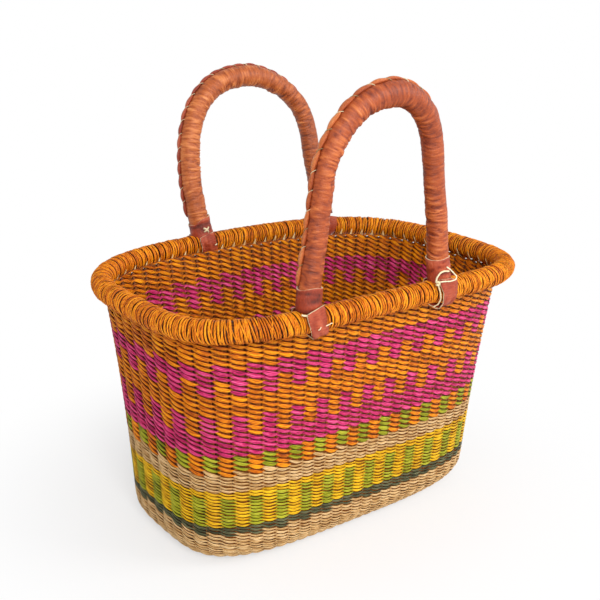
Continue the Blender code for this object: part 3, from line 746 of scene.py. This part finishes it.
# Leather: tones from the painted shade of a crease through dark, body and bright to pale; the lighter tones also
# carry painted highlights on the folds
TAN = ((66, 24, 6), (126, 55, 21), (172, 85, 35), (211, 126, 68), (240, 174, 120))
REDDISH_TAN = ((60, 18, 6), (118, 44, 18), (164, 73, 28), (204, 112, 56), (236, 160, 104))
DEEP_RED = ((52, 16, 8), (100, 32, 16), (144, 52, 28), (176, 80, 48), (208, 122, 88))
RED = ((62, 16, 6), (114, 36, 16), (154, 56, 28), (190, 90, 56), (222, 138, 104))
HIDE = ((126, 98, 62), (186, 164, 120), (224, 208, 168), (240, 228, 196), (248, 240, 216))

TONE_PLACES = (0.29, 0.59, 0.84, 1.04, 1.27)
TONE_RANGE = 1.4


def leather_material(name, tones, gloss=0.30, relief=0.7):
    """Dyed goat leather: a tint with painted shade and highlights of its folds, cloudy wear, and fine wrinkles across
    it, also painted as light and shade.
    """
    material, tree, shader = new_material(name)
    lay, tint = lay_and_tint(tree)
    clouds, wrinkles, pores = (noise(tree, lay, kind) for kind in (CLOUDS, WRINKLES, PORES))
    # The wrinkles lighten and darken the colour as well as the bump, a painted highlight and shade; the clouds are
    # wear and the pores grain
    mix = add_up(tree, tint, (clouds, 0.20), (wrinkles, 0.40), (pores, 0.10))
    stops = [(place / TONE_RANGE, linear(*tone)) for place, tone in zip(TONE_PLACES, tones)]
    colour = ramp(tree, math_node(tree, "MULTIPLY", mix, 1 / TONE_RANGE), stops)
    finish(tree, shader, colour, add_up(tree, gloss, (clouds, 0.28)), add_up(tree, wrinkles, (pores, 0.3)),
           (relief, 0.0010), 0.38)
    return material


TAN_LEATHER = leather_material("tan_leather_folds", TAN)
REDDISH_LEATHER = leather_material("reddish_leather_folds", REDDISH_TAN)
DEEP_LEATHER = leather_material("deep_red_leather_folds", DEEP_RED)
RED_LEATHER = leather_material("red_leather_folds", RED)
RAWHIDE = leather_material("rawhide_grain", HIDE, 0.48, 0.42)

# Centreline of each handle in its own plane in millimetres, left foot to right foot: place, height, radius
FRONT_GUIDE = (
    (-68.5, 0, 9.4), (-69.0, 20, 9.6), (-67.2, 40, 9.5), (-62.3, 70, 9.3), (-59.2, 99, 9.3), (-55.2, 127, 9.4),
    (-44.6, 148, 9.7), (-30.1, 164.8, 10.0), (-12.6, 175.6, 10.6), (7.2, 179.6, 11.2), (23.3, 178.6, 11.1),
    (38.8, 171.2, 10.4), (50.6, 159.2, 10.2), (57.1, 144, 10.0), (60.6, 125, 9.6), (63.0, 107, 9.2),
    (66.0, 88, 9.3), (69.3, 69, 9.6), (71.5, 48, 9.5), (74.5, 25, 9.5), (78.0, 0, 9.4))
REAR_GUIDE = (
    (-73.5, 0, 10.0), (-75.0, 12.7, 10.2), (-77.2, 26, 10.4), (-79.2, 46, 10.5), (-80.2, 62, 10.5),
    (-79.3, 85, 10.5), (-76.8, 102.6, 10.5), (-72.5, 118.6, 10.6), (-65.4, 133.5, 10.7), (-55.6, 146.9, 10.8),
    (-42.4, 157.8, 10.9), (-26.4, 164.8, 11.0), (-8.9, 167.7, 11.0), (9.4, 168.2, 10.8), (25.8, 163.1, 10.4),
    (41.0, 156.2, 10.0), (53.9, 145.8, 9.7), (64.7, 133.5, 9.6), (71.1, 118.3, 9.6), (73.9, 102, 9.6),
    (74.4, 85, 9.6), (76.6, 62, 9.6), (79.5, 42, 9.6), (82.0, 22, 9.6), (83.0, 0, 9.6))


def rim_point(x, side):
    """Point of the part's rim at a lengthwise place on the front or rear side."""
    y = side * RIM_HALF_WIDTH * (1 - abs(x / RIM_HALF_LENGTH) ** RIM_POWER) ** (1 / RIM_POWER)
    return np.array((x, y, RIM_HEIGHT - RIM_END_DROP * (x / RIM_HALF_LENGTH) ** 2))


def smoothed(table, gap, reach):
    """Points at even gaps along the table's line, rounded over a reach."""
    table = np.asarray(table, float)
    walked = walk(table[:, :2])
    pad = int(reach / gap)
    places = np.arange(-pad, int(walked[-1] / gap) + pad + 2) * gap
    window = np.hanning(2 * pad + 1)
    columns = []
    for column in table.T:
        line = np.interp(places, walked, column)
        for end, inner, outside in ((0, 1, places < 0), (-1, -2, places > walked[-1])):
            slope = (column[end] - column[inner]) / (walked[end] - walked[inner])
            line[outside] = column[end] + (places[outside] - walked[end]) * slope
        columns.append(np.convolve(line, window / window.sum(), "valid"))
    return np.stack(columns, -1)


class Arch:
    """A handle's own plane, with X along its feet, Y backwards and Z up the leaning arch."""

    def __init__(self, body, centre, foot, side, lean, guide):
        left, right = rim_point(centre - foot, side), rim_point(centre + foot, side)
        self.body = body
        self.middle = (left + right) / 2
        self.axis = unit(right - left)
        upright = unit(np.array((0.0, 0.0, 1.0)) - self.axis * self.axis[2])
        outward = np.cross(self.axis, upright) * -side
        self.leaning = upright * math.cos(lean) + outward * math.sin(lean)
        self.back = np.cross(self.leaning, self.axis)
        line = smoothed(guide, 0.5, 14)
        self.line = line[:, :2] / 1000
        self.radii = line[:, 2] / 1000
        self.walked = walk(self.line)
        self.length = self.walked[-1]
        run = unit(np.gradient(self.line, axis=0))
        self.outer = np.stack([-run[:, 1], run[:, 0]], -1)

    def world(self, x, y, z):
        """World points of places in the handle's plane."""
        x, y, z = (np.asarray(value, float)[..., None] for value in (x, y, z))
        return self.middle + x * self.axis + y * self.back + z * self.leaning

    def at(self, walked, values):
        """Values at distances along the centreline."""
        return np.stack([np.interp(walked, self.walked, column) for column in values.T], -1)

    def radius(self, walked):
        """Radius of the leather at distances along the centreline."""
        return np.interp(walked, self.walked, self.radii)

    def around(self, walked, angle, radius):
        """World points at distances along the centreline, turns about it and distances from it."""
        walked, angle, radius = np.broadcast_arrays(walked, angle, radius)
        centre = self.at(walked, self.line)
        outer = unit(self.at(walked, self.outer))
        flat = centre + outer * (radius * np.cos(angle))[..., None]
        return self.world(flat[..., 0], radius * np.sin(angle), flat[..., 1])

    def walk_to(self, height, right):
        """Distance along the centreline at which a leg reaches a height."""
        half = len(self.line) // 2
        heights, walked = self.line[:half, 1], self.walked[:half]
        if right:
            heights, walked = self.line[half:, 1][::-1], self.walked[half:][::-1]
        return float(np.interp(height, heights, walked))


FRONT = Arch("front_handle", -0.028, 0.0755, -1, 0.0, FRONT_GUIDE)
REAR = Arch("rear_handle", 0.033, 0.083, 1, math.radians(13), REAR_GUIDE)


def lumps(u, v, cells):
    """Smooth random heights over cells of 1, the same again after a whole number of cells across."""
    grid = rng.standard_normal((int(np.ceil(u.max())) + 3, cells))
    first, second = np.floor(u).astype(int), np.floor(v).astype(int)
    du, dv = u - first, v - second
    du, dv = du * du * (3 - 2 * du), dv * dv * (3 - 2 * dv)
    second, beside = second % cells, (second + 1) % cells
    near = grid[first, second] * (1 - dv) + grid[first, beside] * dv
    far = grid[first + 1, second] * (1 - dv) + grid[first + 1, beside] * dv
    return near * (1 - du) + far * du


# Cover: its start above the foot, its steps and sides, its seam, and the lengths of its folds in millimetres
COVER_START = 0.0145
COVER_STEP = 0.00072
COVER_SIDES = 56
SEAM_TURN = math.radians(23)
SEAM_TURN_AT_CROWN = math.radians(6)
SEAM_DEPTH = 0.5
FOLD_LENGTH = 2.5
FINE_FOLD_LENGTH = 1.5
BULGE_LENGTH = 11
LONG_DRIFT = 24
PATCH_LENGTH = 45
# Core
CORE_START = 0.016
CORE_STEP = 0.004
CORE_RADIUS = 0.0072


def seam_angle(arch, walked):
    """Turn of the laced seam from the outside of the arch towards the back."""
    crown = np.sin(np.pi * np.clip(walked / arch.length, 0, 1)) ** 2
    return SEAM_TURN + (SEAM_TURN_AT_CROWN - SEAM_TURN) * crown


def make_cover(arch, materials, tones):
    """Leather rolled round the core, gathered into folds across the handle."""
    walked = np.arange(COVER_START, arch.length - COVER_START, COVER_STEP)
    share = walked / arch.length
    angle = circle(COVER_SIDES)
    along = np.broadcast_to(walked[:, None] * 1000, (len(walked), COVER_SIDES))
    turn = np.broadcast_to(angle / (2 * np.pi), along.shape)
    drift = 1.6 * np.sin(2 * np.pi * turn + 0.6) + 3.0 * lumps(along / LONG_DRIFT, turn * 3, 3)
    folds = lumps((along + drift + 20) / FOLD_LENGTH, turn * 5, 5)
    fine = lumps((along + 0.6 * drift + 20) / FINE_FOLD_LENGTH, turn * 9, 9)
    bulges = lumps(along / BULGE_LENGTH, turn * 4, 4)
    turning = 0.5 + 0.9 * np.exp(-((share - 0.5) / 0.24) ** 2)
    inner = np.clip(-np.cos(angle), 0, 1)
    strength = 0.55 + 0.30 * lumps(along / PATCH_LENGTH, turn * 3, 3).clip(-1, 1) + turning[:, None] * inner * 0.55
    strength = strength.clip(0.15, 1.6)
    ridge = np.abs(folds).clip(0, 1.4)
    away = np.abs((angle - seam_angle(arch, walked)[:, None] + np.pi) % (2 * np.pi) - np.pi)
    height = ((0.42 * (ridge - 0.6) + 0.20 * fine) * strength + 0.18 * bulges
              - SEAM_DEPTH * np.exp(-(away / 0.20) ** 2))
    rings = arch.around(walked[:, None], angle, arch.radius(walked)[:, None] + height / 1000)
    tone = np.interp(share, *zip(*tones))[:, None]
    # Tint: the tone along the handle, lighter on fold ridges, fine wrinkles and bulges as a painted highlight, and
    # darker in the creases and along the seam under the lacing as painted shade
    tints = (tone + 0.11 * (ridge - 0.55) * strength + 0.08 * fine + 0.02 * bulges
             - 0.22 * np.exp(-(folds / 0.10) ** 2) * strength.clip(0, 1) - 0.32 * np.exp(-(away / 0.24) ** 2))
    form = Form()
    form.tube(rings, False, 0, tints, walked * 1000, (0, 12, 12))
    settle(form, arch.body + "_leather", materials, arch.body, "tan_leather", arch.body + "_cover")


def make_core(arch):
    """Bent bundle of grass in the leather."""
    form = Form()
    walked = np.arange(CORE_START, arch.length - CORE_START, CORE_STEP)
    angle = circle(16)
    rings = arch.around(walked[:, None], angle, CORE_RADIUS * (1 + 0.05 * np.cos(8 * angle)))
    form.tube(rings, False, 0, 0.5, walked * 1000, (0, 8, 8))
    settle(form, arch.body + "_grass", [PAINTED_SHADE_STRAW], arch.body, "natural_straw", arch.body + "_core")


# Laced strip: leaves of leather with a flat underside, and thongs over their waists
LACING_START = 0.030
LEAF_STEPS = 13
LEAF_HALF_WIDTH = 0.0030
LEAF_THICKNESS = 0.00125
LEAF_POWER = 0.58
LEAF_SLANT = -0.16
LEAF_SEAT = 0.0008
FOOT_MARGIN = 0.004
THONG_STEPS = 9
THONG_REACH = 0.0026
THONG_SLANT = -0.32
THONG_RADIUS = 0.00045
THONG_ARCH = 0.0015


def make_lacing(arch, leaf_length, materials):
    """Strip laced along the seam: a leaf of leather between stitches, and a pale thong over each waist."""
    form = Form()
    start, end = (arch.walk_to(LACING_START, right) for right in (False, True))
    count = round((end - start) / leaf_length)
    pitch = (end - start) / count
    corner = circle(10)
    lines = 2 * count + 2
    for leaf in range(count):
        share = np.linspace(0, 1, LEAF_STEPS)
        length = pitch * rng.uniform(1.12, 1.24)
        walked = start + leaf * pitch + (share - 0.06) * length + rng.uniform(-0.0006, 0.0006)
        walked = walked.clip(FOOT_MARGIN, arch.length - FOOT_MARGIN)
        full = np.clip(np.sin(np.pi * share), 0.02, 1) ** LEAF_POWER * rng.uniform(0.92, 1.10)
        seam = seam_angle(arch, walked) + (share - 0.5) * LEAF_SLANT + rng.uniform(-0.03, 0.03)
        out = arch.radius(walked) + 0.00055 + 0.0009 * np.sin(np.pi * share)
        turn = seam[:, None] + LEAF_HALF_WIDTH * full[:, None] * np.cos(corner) / out[:, None]
        reach = out[:, None] + LEAF_THICKNESS * full[:, None] * np.sin(corner) * (1 + 0.25 * np.cos(corner))
        reach = np.where(np.sin(corner) < -0.1, arch.radius(walked)[:, None] - LEAF_SEAT, reach)
        # Tint: each leaf a little lighter or darker at random, its top lighter and its underside darker as a painted
        # highlight and shade
        tints = 0.50 + rng.uniform(-0.12, 0.12) + 0.20 * np.sin(corner) + 0 * reach
        form.tube(arch.around(walked[:, None], turn, reach), False, 0, tints, walked * 1000, (leaf, lines, 1))
        if leaf == 0:
            continue
        share = np.linspace(-1, 1, THONG_STEPS)
        walked = start + leaf * pitch + share * THONG_REACH
        seam = seam_angle(arch, walked) + share * THONG_SLANT
        out = arch.radius(walked)[:, None] + 0.0001 + THONG_ARCH * (1 - share[:, None] ** 2)
        rings = arch.around(walked[:, None], seam[:, None] + THONG_RADIUS * np.cos(corner[::2]) / out,
                            out + THONG_RADIUS * np.sin(corner[::2]))
        # Two in five thongs, chosen at random, are darker
        thong_tint = 0.5 if rng.uniform() < 0.6 else 0.1
        form.tube(rings, False, 1, thong_tint, share * 3 + 3, (count + leaf, lines, 1))
    settle(form, arch.body + "_lace", materials, arch.body, "tan_leather", arch.body + "_lacing")


CUFF_TURNS = 72
CUFF_ROWS = 12
CUFF_CLEARANCE = 0.0012
CUFF_THICKNESS = 0.0010
CUFF_TEETH = 0.0007
CUFF_CREASE = 0.00060
CUFF_CREASE_LENGTH = 4.5
BROW_ANGLE = 4.9
BROW_REACH = 0.70


def make_cuff(arch, end, low, top, tilt, swell, brow, tone):
    """Red leather sleeve round the end of a leg, with a torn pale upper edge."""
    right = end == "right"
    form = Form()
    angle = circle(CUFF_TURNS)
    toothed = CUFF_TEETH * lumps(np.full(CUFF_TURNS, 0.5), angle / (2 * np.pi) * 9, 9)
    edge = top - tilt * np.cos(angle) + toothed + brow * np.exp(-((angle - BROW_ANGLE) / BROW_REACH) ** 2)
    share = np.linspace(0, 1, CUFF_ROWS)
    height = low + (edge[:, None] - low) * share
    walked = np.clip(arch.walk_to(0.0, right) + (-1 if right else 1) * height, 0.0, arch.length)
    turn = np.broadcast_to(angle[:, None], walked.shape)
    creases = lumps((height * 1000 + 2 * np.sin(turn) + 5) / CUFF_CREASE_LENGTH, turn / (2 * np.pi) * 4, 4)
    creases = np.abs(creases).clip(0, 1.3)
    leather = arch.radius(walked) + CUFF_CLEARANCE + swell * (1 - share) ** 2 + CUFF_CREASE * (creases - 0.5)
    rings = arch.around(np.hstack([walked, walked[:, [-1, 0]]]), np.hstack([turn, turn[:, :2]]),
                        np.hstack([leather, leather[:, [-1, 0]] - CUFF_THICKNESS]))
    # Tint: the cuff's tone, lighter on raised creases as a painted highlight, darker in their hollows and on its
    # inner face towards the foot as painted shade; the torn edge keeps a pale tint of its own
    tints = np.hstack([tone + 0.30 * (creases - 0.5) - 0.20 * np.exp(-(creases / 0.12) ** 2),
                       np.full((CUFF_TURNS, 2), 0.2)])
    tints[:, -3:-1] = 0.62
    slots = np.zeros((CUFF_TURNS, CUFF_ROWS + 2), int)
    slots[:, CUFF_ROWS - 1] = 1
    form.tube(rings, True, slots, tints, np.linspace(0, 62, CUFF_TURNS + 1), (0, 2, 2))
    side = arch.body.split("_")[0]
    settle(form, f"{side}_{end}_wrap", [RED_LEATHER, RAWHIDE], arch.body, "red_leather", f"{side}_{end}_cuff")


STRAP_STEPS = 46
STRAP_SPOTS = 9
STRAP_HALF_THICKNESS = 0.00075
STRAP_LENGTH = 70
STRAP_RIPPLE = 0.0004
STRAP_FINE_RIPPLE = 0.0003
STRAP_CURL = 0.0030
STRAP_FRAY = 0.00035


def eased(path, times):
    """A path with its inner points averaged with their neighbours, some times over."""
    for _ in range(times):
        path[1:-1] = (path[:-2] + 2 * path[1:-1] + path[2:]) / 4
    return path


def make_strap(arch, end, slant, table):
    """Strap that hangs a leg on the rim; the table gives its edges and its path from front to back."""
    form = Form()
    table = np.array(table) / 1000
    walked = walk(table[:, 2:])
    share = np.linspace(0, 1, STRAP_STEPS)
    path = eased(np.stack([np.interp(share * walked[-1], walked, column) for column in table.T], -1), 4)
    run = unit(np.gradient(path[:, 2:], axis=0))
    spots = np.concatenate([np.linspace(-1, 1, STRAP_SPOTS), np.linspace(1, -1, STRAP_SPOTS)])
    depth = np.repeat((1.0, -1.0), STRAP_SPOTS)
    depth[[0, STRAP_SPOTS - 1, STRAP_SPOTS, -1]] *= 0.6
    middle, half = (path[:, :1] + path[:, 1:2]) / 2, (path[:, 1:2] - path[:, :1]) / 2
    share = share[:, None]
    along, across = np.broadcast_arrays(share, (spots + 1) * 2.5)
    ripple = (STRAP_RIPPLE * lumps(along * 9, across, 9)
              + STRAP_FINE_RIPPLE * lumps(along * 5, across * 2.4, 13))
    curl = STRAP_CURL * np.clip(np.sin(np.pi * share), 0, 1) * np.clip(-spots - 0.45, 0, 1)
    frayed = STRAP_FRAY * rng.standard_normal(STRAP_STEPS)[:, None]
    x = middle + (half + frayed * (np.abs(spots) > 0.9)) * spots
    out = STRAP_HALF_THICKNESS * depth + ripple + curl
    y = path[:, 2:3] + out * run[:, 1:2]
    z = path[:, 3:4] - out * run[:, 0:1] + slant / 1000 * spots * np.clip(1 - share / 0.16, 0, 1)
    slots = np.zeros(x.shape, int)
    slots[:, [STRAP_SPOTS - 1, -1]] = 1
    # Tint: the face on the rim darker than the outer face as painted shade, and raised ripples lighter as a painted
    # highlight
    form.tube(arch.world(x, y, z), False, slots, np.where(depth > 0, 0.54, 0.40) + 150 * ripple,
              share[:, 0] * STRAP_LENGTH, (0, 2, 2))
    side = arch.body.split("_")[0]
    settle(form, f"{side}_{end}_strap", [RED_LEATHER, RAWHIDE], arch.body, "red_leather", f"{side}_{end}_loop")


CORD_STEP = 0.7
SIDEWAYS_SHARE = 0.31


def cord(form, arch, points, radius, line):
    """Thin round thong through points in millimetres of the handle's plane."""
    points = np.asarray(points, float)
    walked = walk(points)
    places = np.linspace(0, walked[-1], max(8, int(walked[-1] / CORD_STEP)))
    path = eased(np.stack([np.interp(places, walked, column) for column in points.T], -1), 3)
    path = arch.world(*(path.T / 1000))
    run = unit(np.gradient(path, axis=0))
    aside = unit(np.cross(run, arch.back + SIDEWAYS_SHARE * arch.axis))
    corner = circle(8)
    size = radius * (1 + 0.12 * rng.standard_normal(len(path)).clip(-1.5, 1.5))[:, None]
    rings = swept(path, aside, np.cross(run, aside), size * np.cos(corner), size * np.sin(corner))
    form.tube(rings, False, 0, rng.uniform(0.42, 0.62), places, (line, 8, 1))


# Thongs as lists of points in each handle's plane, in millimetres: place, depth, height
THONGS = {
    ("front", "left"): [
        (0.42, ((-68.4, -13.2, -4.4), (-67.4, -14.1, -3.6), (-66.6, -14.1, -2.6), (-65.8, -13.2, -1.8))),
        (0.46, ((-60.5, -12.8, -2.4), (-57.6, -13.6, -1.4), (-55.4, -13.4, -0.8), (-53.6, -12.4, -1.4))),
        (0.75, ((-82.6, -9.2, 10.4), (-80.6, -11.4, 9.8), (-78.6, -12.0, 10.0)))],
    ("front", "right"): [
        (0.80, ((61.0, -12.6, 13.0), (61.2, -13.0, 17.6), (64.7, -13.4, 21.7), (69.3, -13.4, 22.6),
                (75.6, -13.0, 21.3))),
        (0.62, ((72.9, -12.6, 25.6), (76.7, -13.2, 23.0), (83.0, -12.8, 17.4), (86.2, -12.6, 14.6),
                (84.3, -13.6, 12.2), (77.6, -14.0, 11.9), (69.7, -14.0, 13.0), (64.5, -13.9, 13.4))),
        (1.00, ((60.6, -13.0, 13.4), (62.6, -14.0, 14.2), (64.4, -14.0, 12.2), (62.8, -13.8, 10.2),
                (61.0, -13.2, 11.6))),
        (0.66, ((62.6, -13.4, 12.4), (63.6, -13.6, 9.2), (66.0, -13.7, 3.4), (68.0, -12.8, -3.0),
                (68.4, -9.6, -9.2), (66.0, -5.6, -12.6)))],
    ("rear", "left"): [
        (0.95, ((-77.6, -10.6, 14.4), (-75.8, -12.6, 13.6), (-74.0, -12.6, 11.6), (-72.8, -10.8, 10.2))),
        (0.85, ((-77.4, -10.8, 10.8), (-75.6, -12.8, 12.2), (-73.6, -12.6, 14.0), (-72.2, -10.8, 15.0))),
        (0.60, ((-67.4, -12.4, -4.2), (-66.4, -13.6, -3.6), (-65.4, -12.4, -3.0)))],
    ("rear", "right"): [
        (0.80, ((78.0, -11.6, 20.0), (82.0, -12.4, 18.0), (88.0, -10.8, 17.0)))],
}
# Slant of each strap's cut end, then its path from the front tail to the rear one: left edge, right edge,
# depth and height
STRAPS = {
    ("front", "left"): (2.6, (
        (-79.5, -62, -12.3, 13.6), (-79.4, -61.2, -12.8, 9), (-78.6, -59.3, -12.9, 3), (-75.5, -56.8, -12.2, -5),
        (-71, -55, -9.4, -11.6), (-67, -54, -3, -14.0), (-67, -54, 5, -12.2), (-72, -57, 10.5, -6),
        (-76, -60, 12.2, 1), (-77, -60, 12.2, 9))),
    ("front", "right"): (-1.0, (
        (65.7, 86.7, -12.3, 14.0), (67.5, 88, -12.8, 8), (70, 89, -12.9, 1), (71.5, 86.5, -11.7, -7),
        (71.5, 82.5, -7.6, -12.6), (72.5, 81, -1, -14.2), (72, 82, 5, -12.2), (70, 86, 10.5, -6),
        (69, 87, 12.2, 1), (69, 87, 12.2, 9))),
    ("rear", "left"): (2.4, (
        (-84.5, -67, -12.6, 7.6), (-84.5, -66.6, -12.8, 3), (-83.6, -65, -12.2, -3), (-82.4, -63.3, -9.8, -8.5),
        (-81, -62.5, -4, -12.4), (-80, -62, 2, -12.8), (-80, -62, 8, -10), (-82, -64, 11.8, -4),
        (-83, -65, 12.4, 3), (-83, -65, 12.4, 9))),
    ("rear", "right"): (-2.0, (
        (73, 91.4, -12.4, 10), (73.5, 91.4, -12.8, 4), (73, 91, -12.2, -3), (72, 90, -9.8, -8.5),
        (71, 89, -4, -12.4), (71, 88.5, 2, -12.8), (71, 88.5, 8, -10), (73, 90, 11.8, -4),
        (74, 91, 12.4, 3), (74, 91, 12.4, 9))),
}
# Foot of the sleeve, its top, the tilt of its upper edge, the swell of its foot, the lift of its front and its tone
CUFFS = {
    ("front", "left"): (0.0100, 0.0285, 0.0010, 0.0006, 0.0022, 0.40),
    ("front", "right"): (0.0085, 0.0318, 0.0004, 0.0004, 0.0012, 0.60),
    ("rear", "left"): (0.0030, 0.0235, 0.0030, 0.0006, 0.0006, 0.46),
    ("rear", "right"): (0.0122, 0.0290, 0.0004, 0.0006, 0.0004, 0.46),
}
FRONT_TONES = ((0.0, 0.38), (0.12, 0.44), (0.35, 0.50), (0.5, 0.43), (0.62, 0.41), (0.8, 0.48), (1.0, 0.54))
REAR_TONES = ((0.0, 0.47), (0.2, 0.55), (0.5, 0.50), (0.7, 0.42), (1.0, 0.40))


def make_handle(arch, leather, tones, leaf_length, lace):
    """All pieces of one handle."""
    side = arch.body.split("_")[0]
    make_core(arch)
    make_cover(arch, [leather], tones)
    make_lacing(arch, leaf_length, [lace, RAWHIDE])
    for end in ("left", "right"):
        make_cuff(arch, end, *CUFFS[side, end])
        make_strap(arch, end, *STRAPS[side, end])
        form = Form()
        for line, (radius, points) in enumerate(THONGS[side, end]):
            cord(form, arch, points, radius / 1000, line)
        settle(form, f"{side}_{end}_tie", [RAWHIDE], arch.body, "rawhide", f"{side}_{end}_thong")


make_wall()
make_base()
make_stakes()
make_rim()
make_rim_bundle()
make_handle(FRONT, REDDISH_LEATHER, FRONT_TONES, 0.0150, REDDISH_LEATHER)
make_handle(REAR, TAN_LEATHER, REAR_TONES, 0.0130, DEEP_LEATHER)

# Stage: the floor with its reflectance and the radii between which its shadow fades, light and camera
FLOOR_LEVEL = -0.0003
FLOOR_WHITE = 0.88
SHADOW_FADE = {"From Min": 0.12, "From Max": 0.40, "To Min": 0.55, "To Max": 1.0}
FILL_LEVEL = 0.48
LAMP_AIM = (0, 0, 0.18)
LAMPS = (("key", (-0.9, -1.9, 1.5), 0.9, 44), ("fill", (1.5, -1.5, 1.3), 1.2, 28))
CAMERA_PLACE = (-0.5762, -0.7300, 0.5182)
CAMERA_RIGHT = (0.7897, -0.6134, -0.0026)
CAMERA_UP = (0.1970, 0.2496, 0.9481)
CAMERA_BACK = (-0.5809, -0.7493, 0.3179)
CAMERA_ROLL = 0.0258
LENS = 60
SENSOR = 36


def seen_rays(tree, *kinds):
    """Value of 1 for rays of any of these kinds."""
    light_path = tree.nodes.new("ShaderNodeLightPath")
    value = light_path.outputs["Is Camera Ray"]
    for kind in kinds:
        value = math_node(tree, "MAXIMUM", value, light_path.outputs[kind])
    return value


def floor_material():
    """Pale paper that keeps the shadow near the basket and is plain white farther out."""
    material, tree, shader = new_material("floor")
    shader.inputs["Base Color"].default_value = (FLOOR_WHITE, FLOOR_WHITE, FLOOR_WHITE, 1)
    shader.inputs["Roughness"].default_value = 0.9
    shader.inputs["Specular IOR Level"].default_value = 0.1
    geometry = tree.nodes.new("ShaderNodeNewGeometry")
    distance = tree.nodes.new("ShaderNodeVectorMath")
    distance.operation = "LENGTH"
    tree.links.new(geometry.outputs["Position"], distance.inputs[0])
    fade = tree.nodes.new("ShaderNodeMapRange")
    fade.interpolation_type = "SMOOTHSTEP"
    for socket, value in SHADOW_FADE.items():
        fade.inputs[socket].default_value = value
    tree.links.new(distance.outputs["Value"], fade.inputs["Value"])
    seen = math_node(tree, "MULTIPLY", fade.outputs["Result"],
                     seen_rays(tree, "Is Glossy Ray", "Is Transmission Ray"))
    glow = tree.nodes.new("ShaderNodeEmission")
    blend = tree.nodes.new("ShaderNodeMixShader")
    for socket, source in enumerate((seen, shader.outputs["BSDF"], glow.outputs["Emission"])):
        tree.links.new(source, blend.inputs[socket])
    tree.links.new(blend.outputs["Shader"], tree.nodes["Material Output"].inputs["Surface"])
    return material


def make_stage():
    """Floor and light."""
    scene = bpy.context.scene
    scene.view_settings.view_transform = "Standard"
    bpy.ops.mesh.primitive_plane_add(size=40, location=(0, 0, FLOOR_LEVEL))
    floor = bpy.context.object
    floor.name = "floor"
    floor.data.materials.append(floor_material())
    world = bpy.data.worlds.new("world")
    scene.world = world
    world.use_nodes = True
    tree = world.node_tree
    background = tree.nodes["Background"]
    background.inputs["Color"].default_value = (1, 1, 1, 1)
    strength = add_up(tree, FILL_LEVEL, (seen_rays(tree, "Is Glossy Ray"), 1 - FILL_LEVEL))
    tree.links.new(strength, background.inputs["Strength"])
    for name, place, size, power in LAMPS:
        data = bpy.data.lights.new(name, "AREA")
        data.size = size
        data.energy = power
        lamp = bpy.data.objects.new(name, data)
        scene.collection.objects.link(lamp)
        lamp.location = place
        lamp.rotation_euler = (Vector(LAMP_AIM) - Vector(place)).to_track_quat("-Z", "Y").to_euler()


def make_camera():
    """Camera at the photograph's viewing angle."""
    right, up = np.array(CAMERA_RIGHT), np.array(CAMERA_UP)
    axes = (math.cos(CAMERA_ROLL) * right + math.sin(CAMERA_ROLL) * up,
            math.cos(CAMERA_ROLL) * up - math.sin(CAMERA_ROLL) * right, CAMERA_BACK)
    data = bpy.data.cameras.new("camera")
    data.lens = LENS
    data.sensor_width = SENSOR
    camera = bpy.data.objects.new("camera", data)
    bpy.context.scene.collection.objects.link(camera)
    matrix = Matrix(tuple(map(tuple, np.transpose(axes)))).to_4x4()
    matrix.translation = CAMERA_PLACE
    camera.matrix_world = matrix
    bpy.context.scene.camera = camera


make_stage()
make_camera()
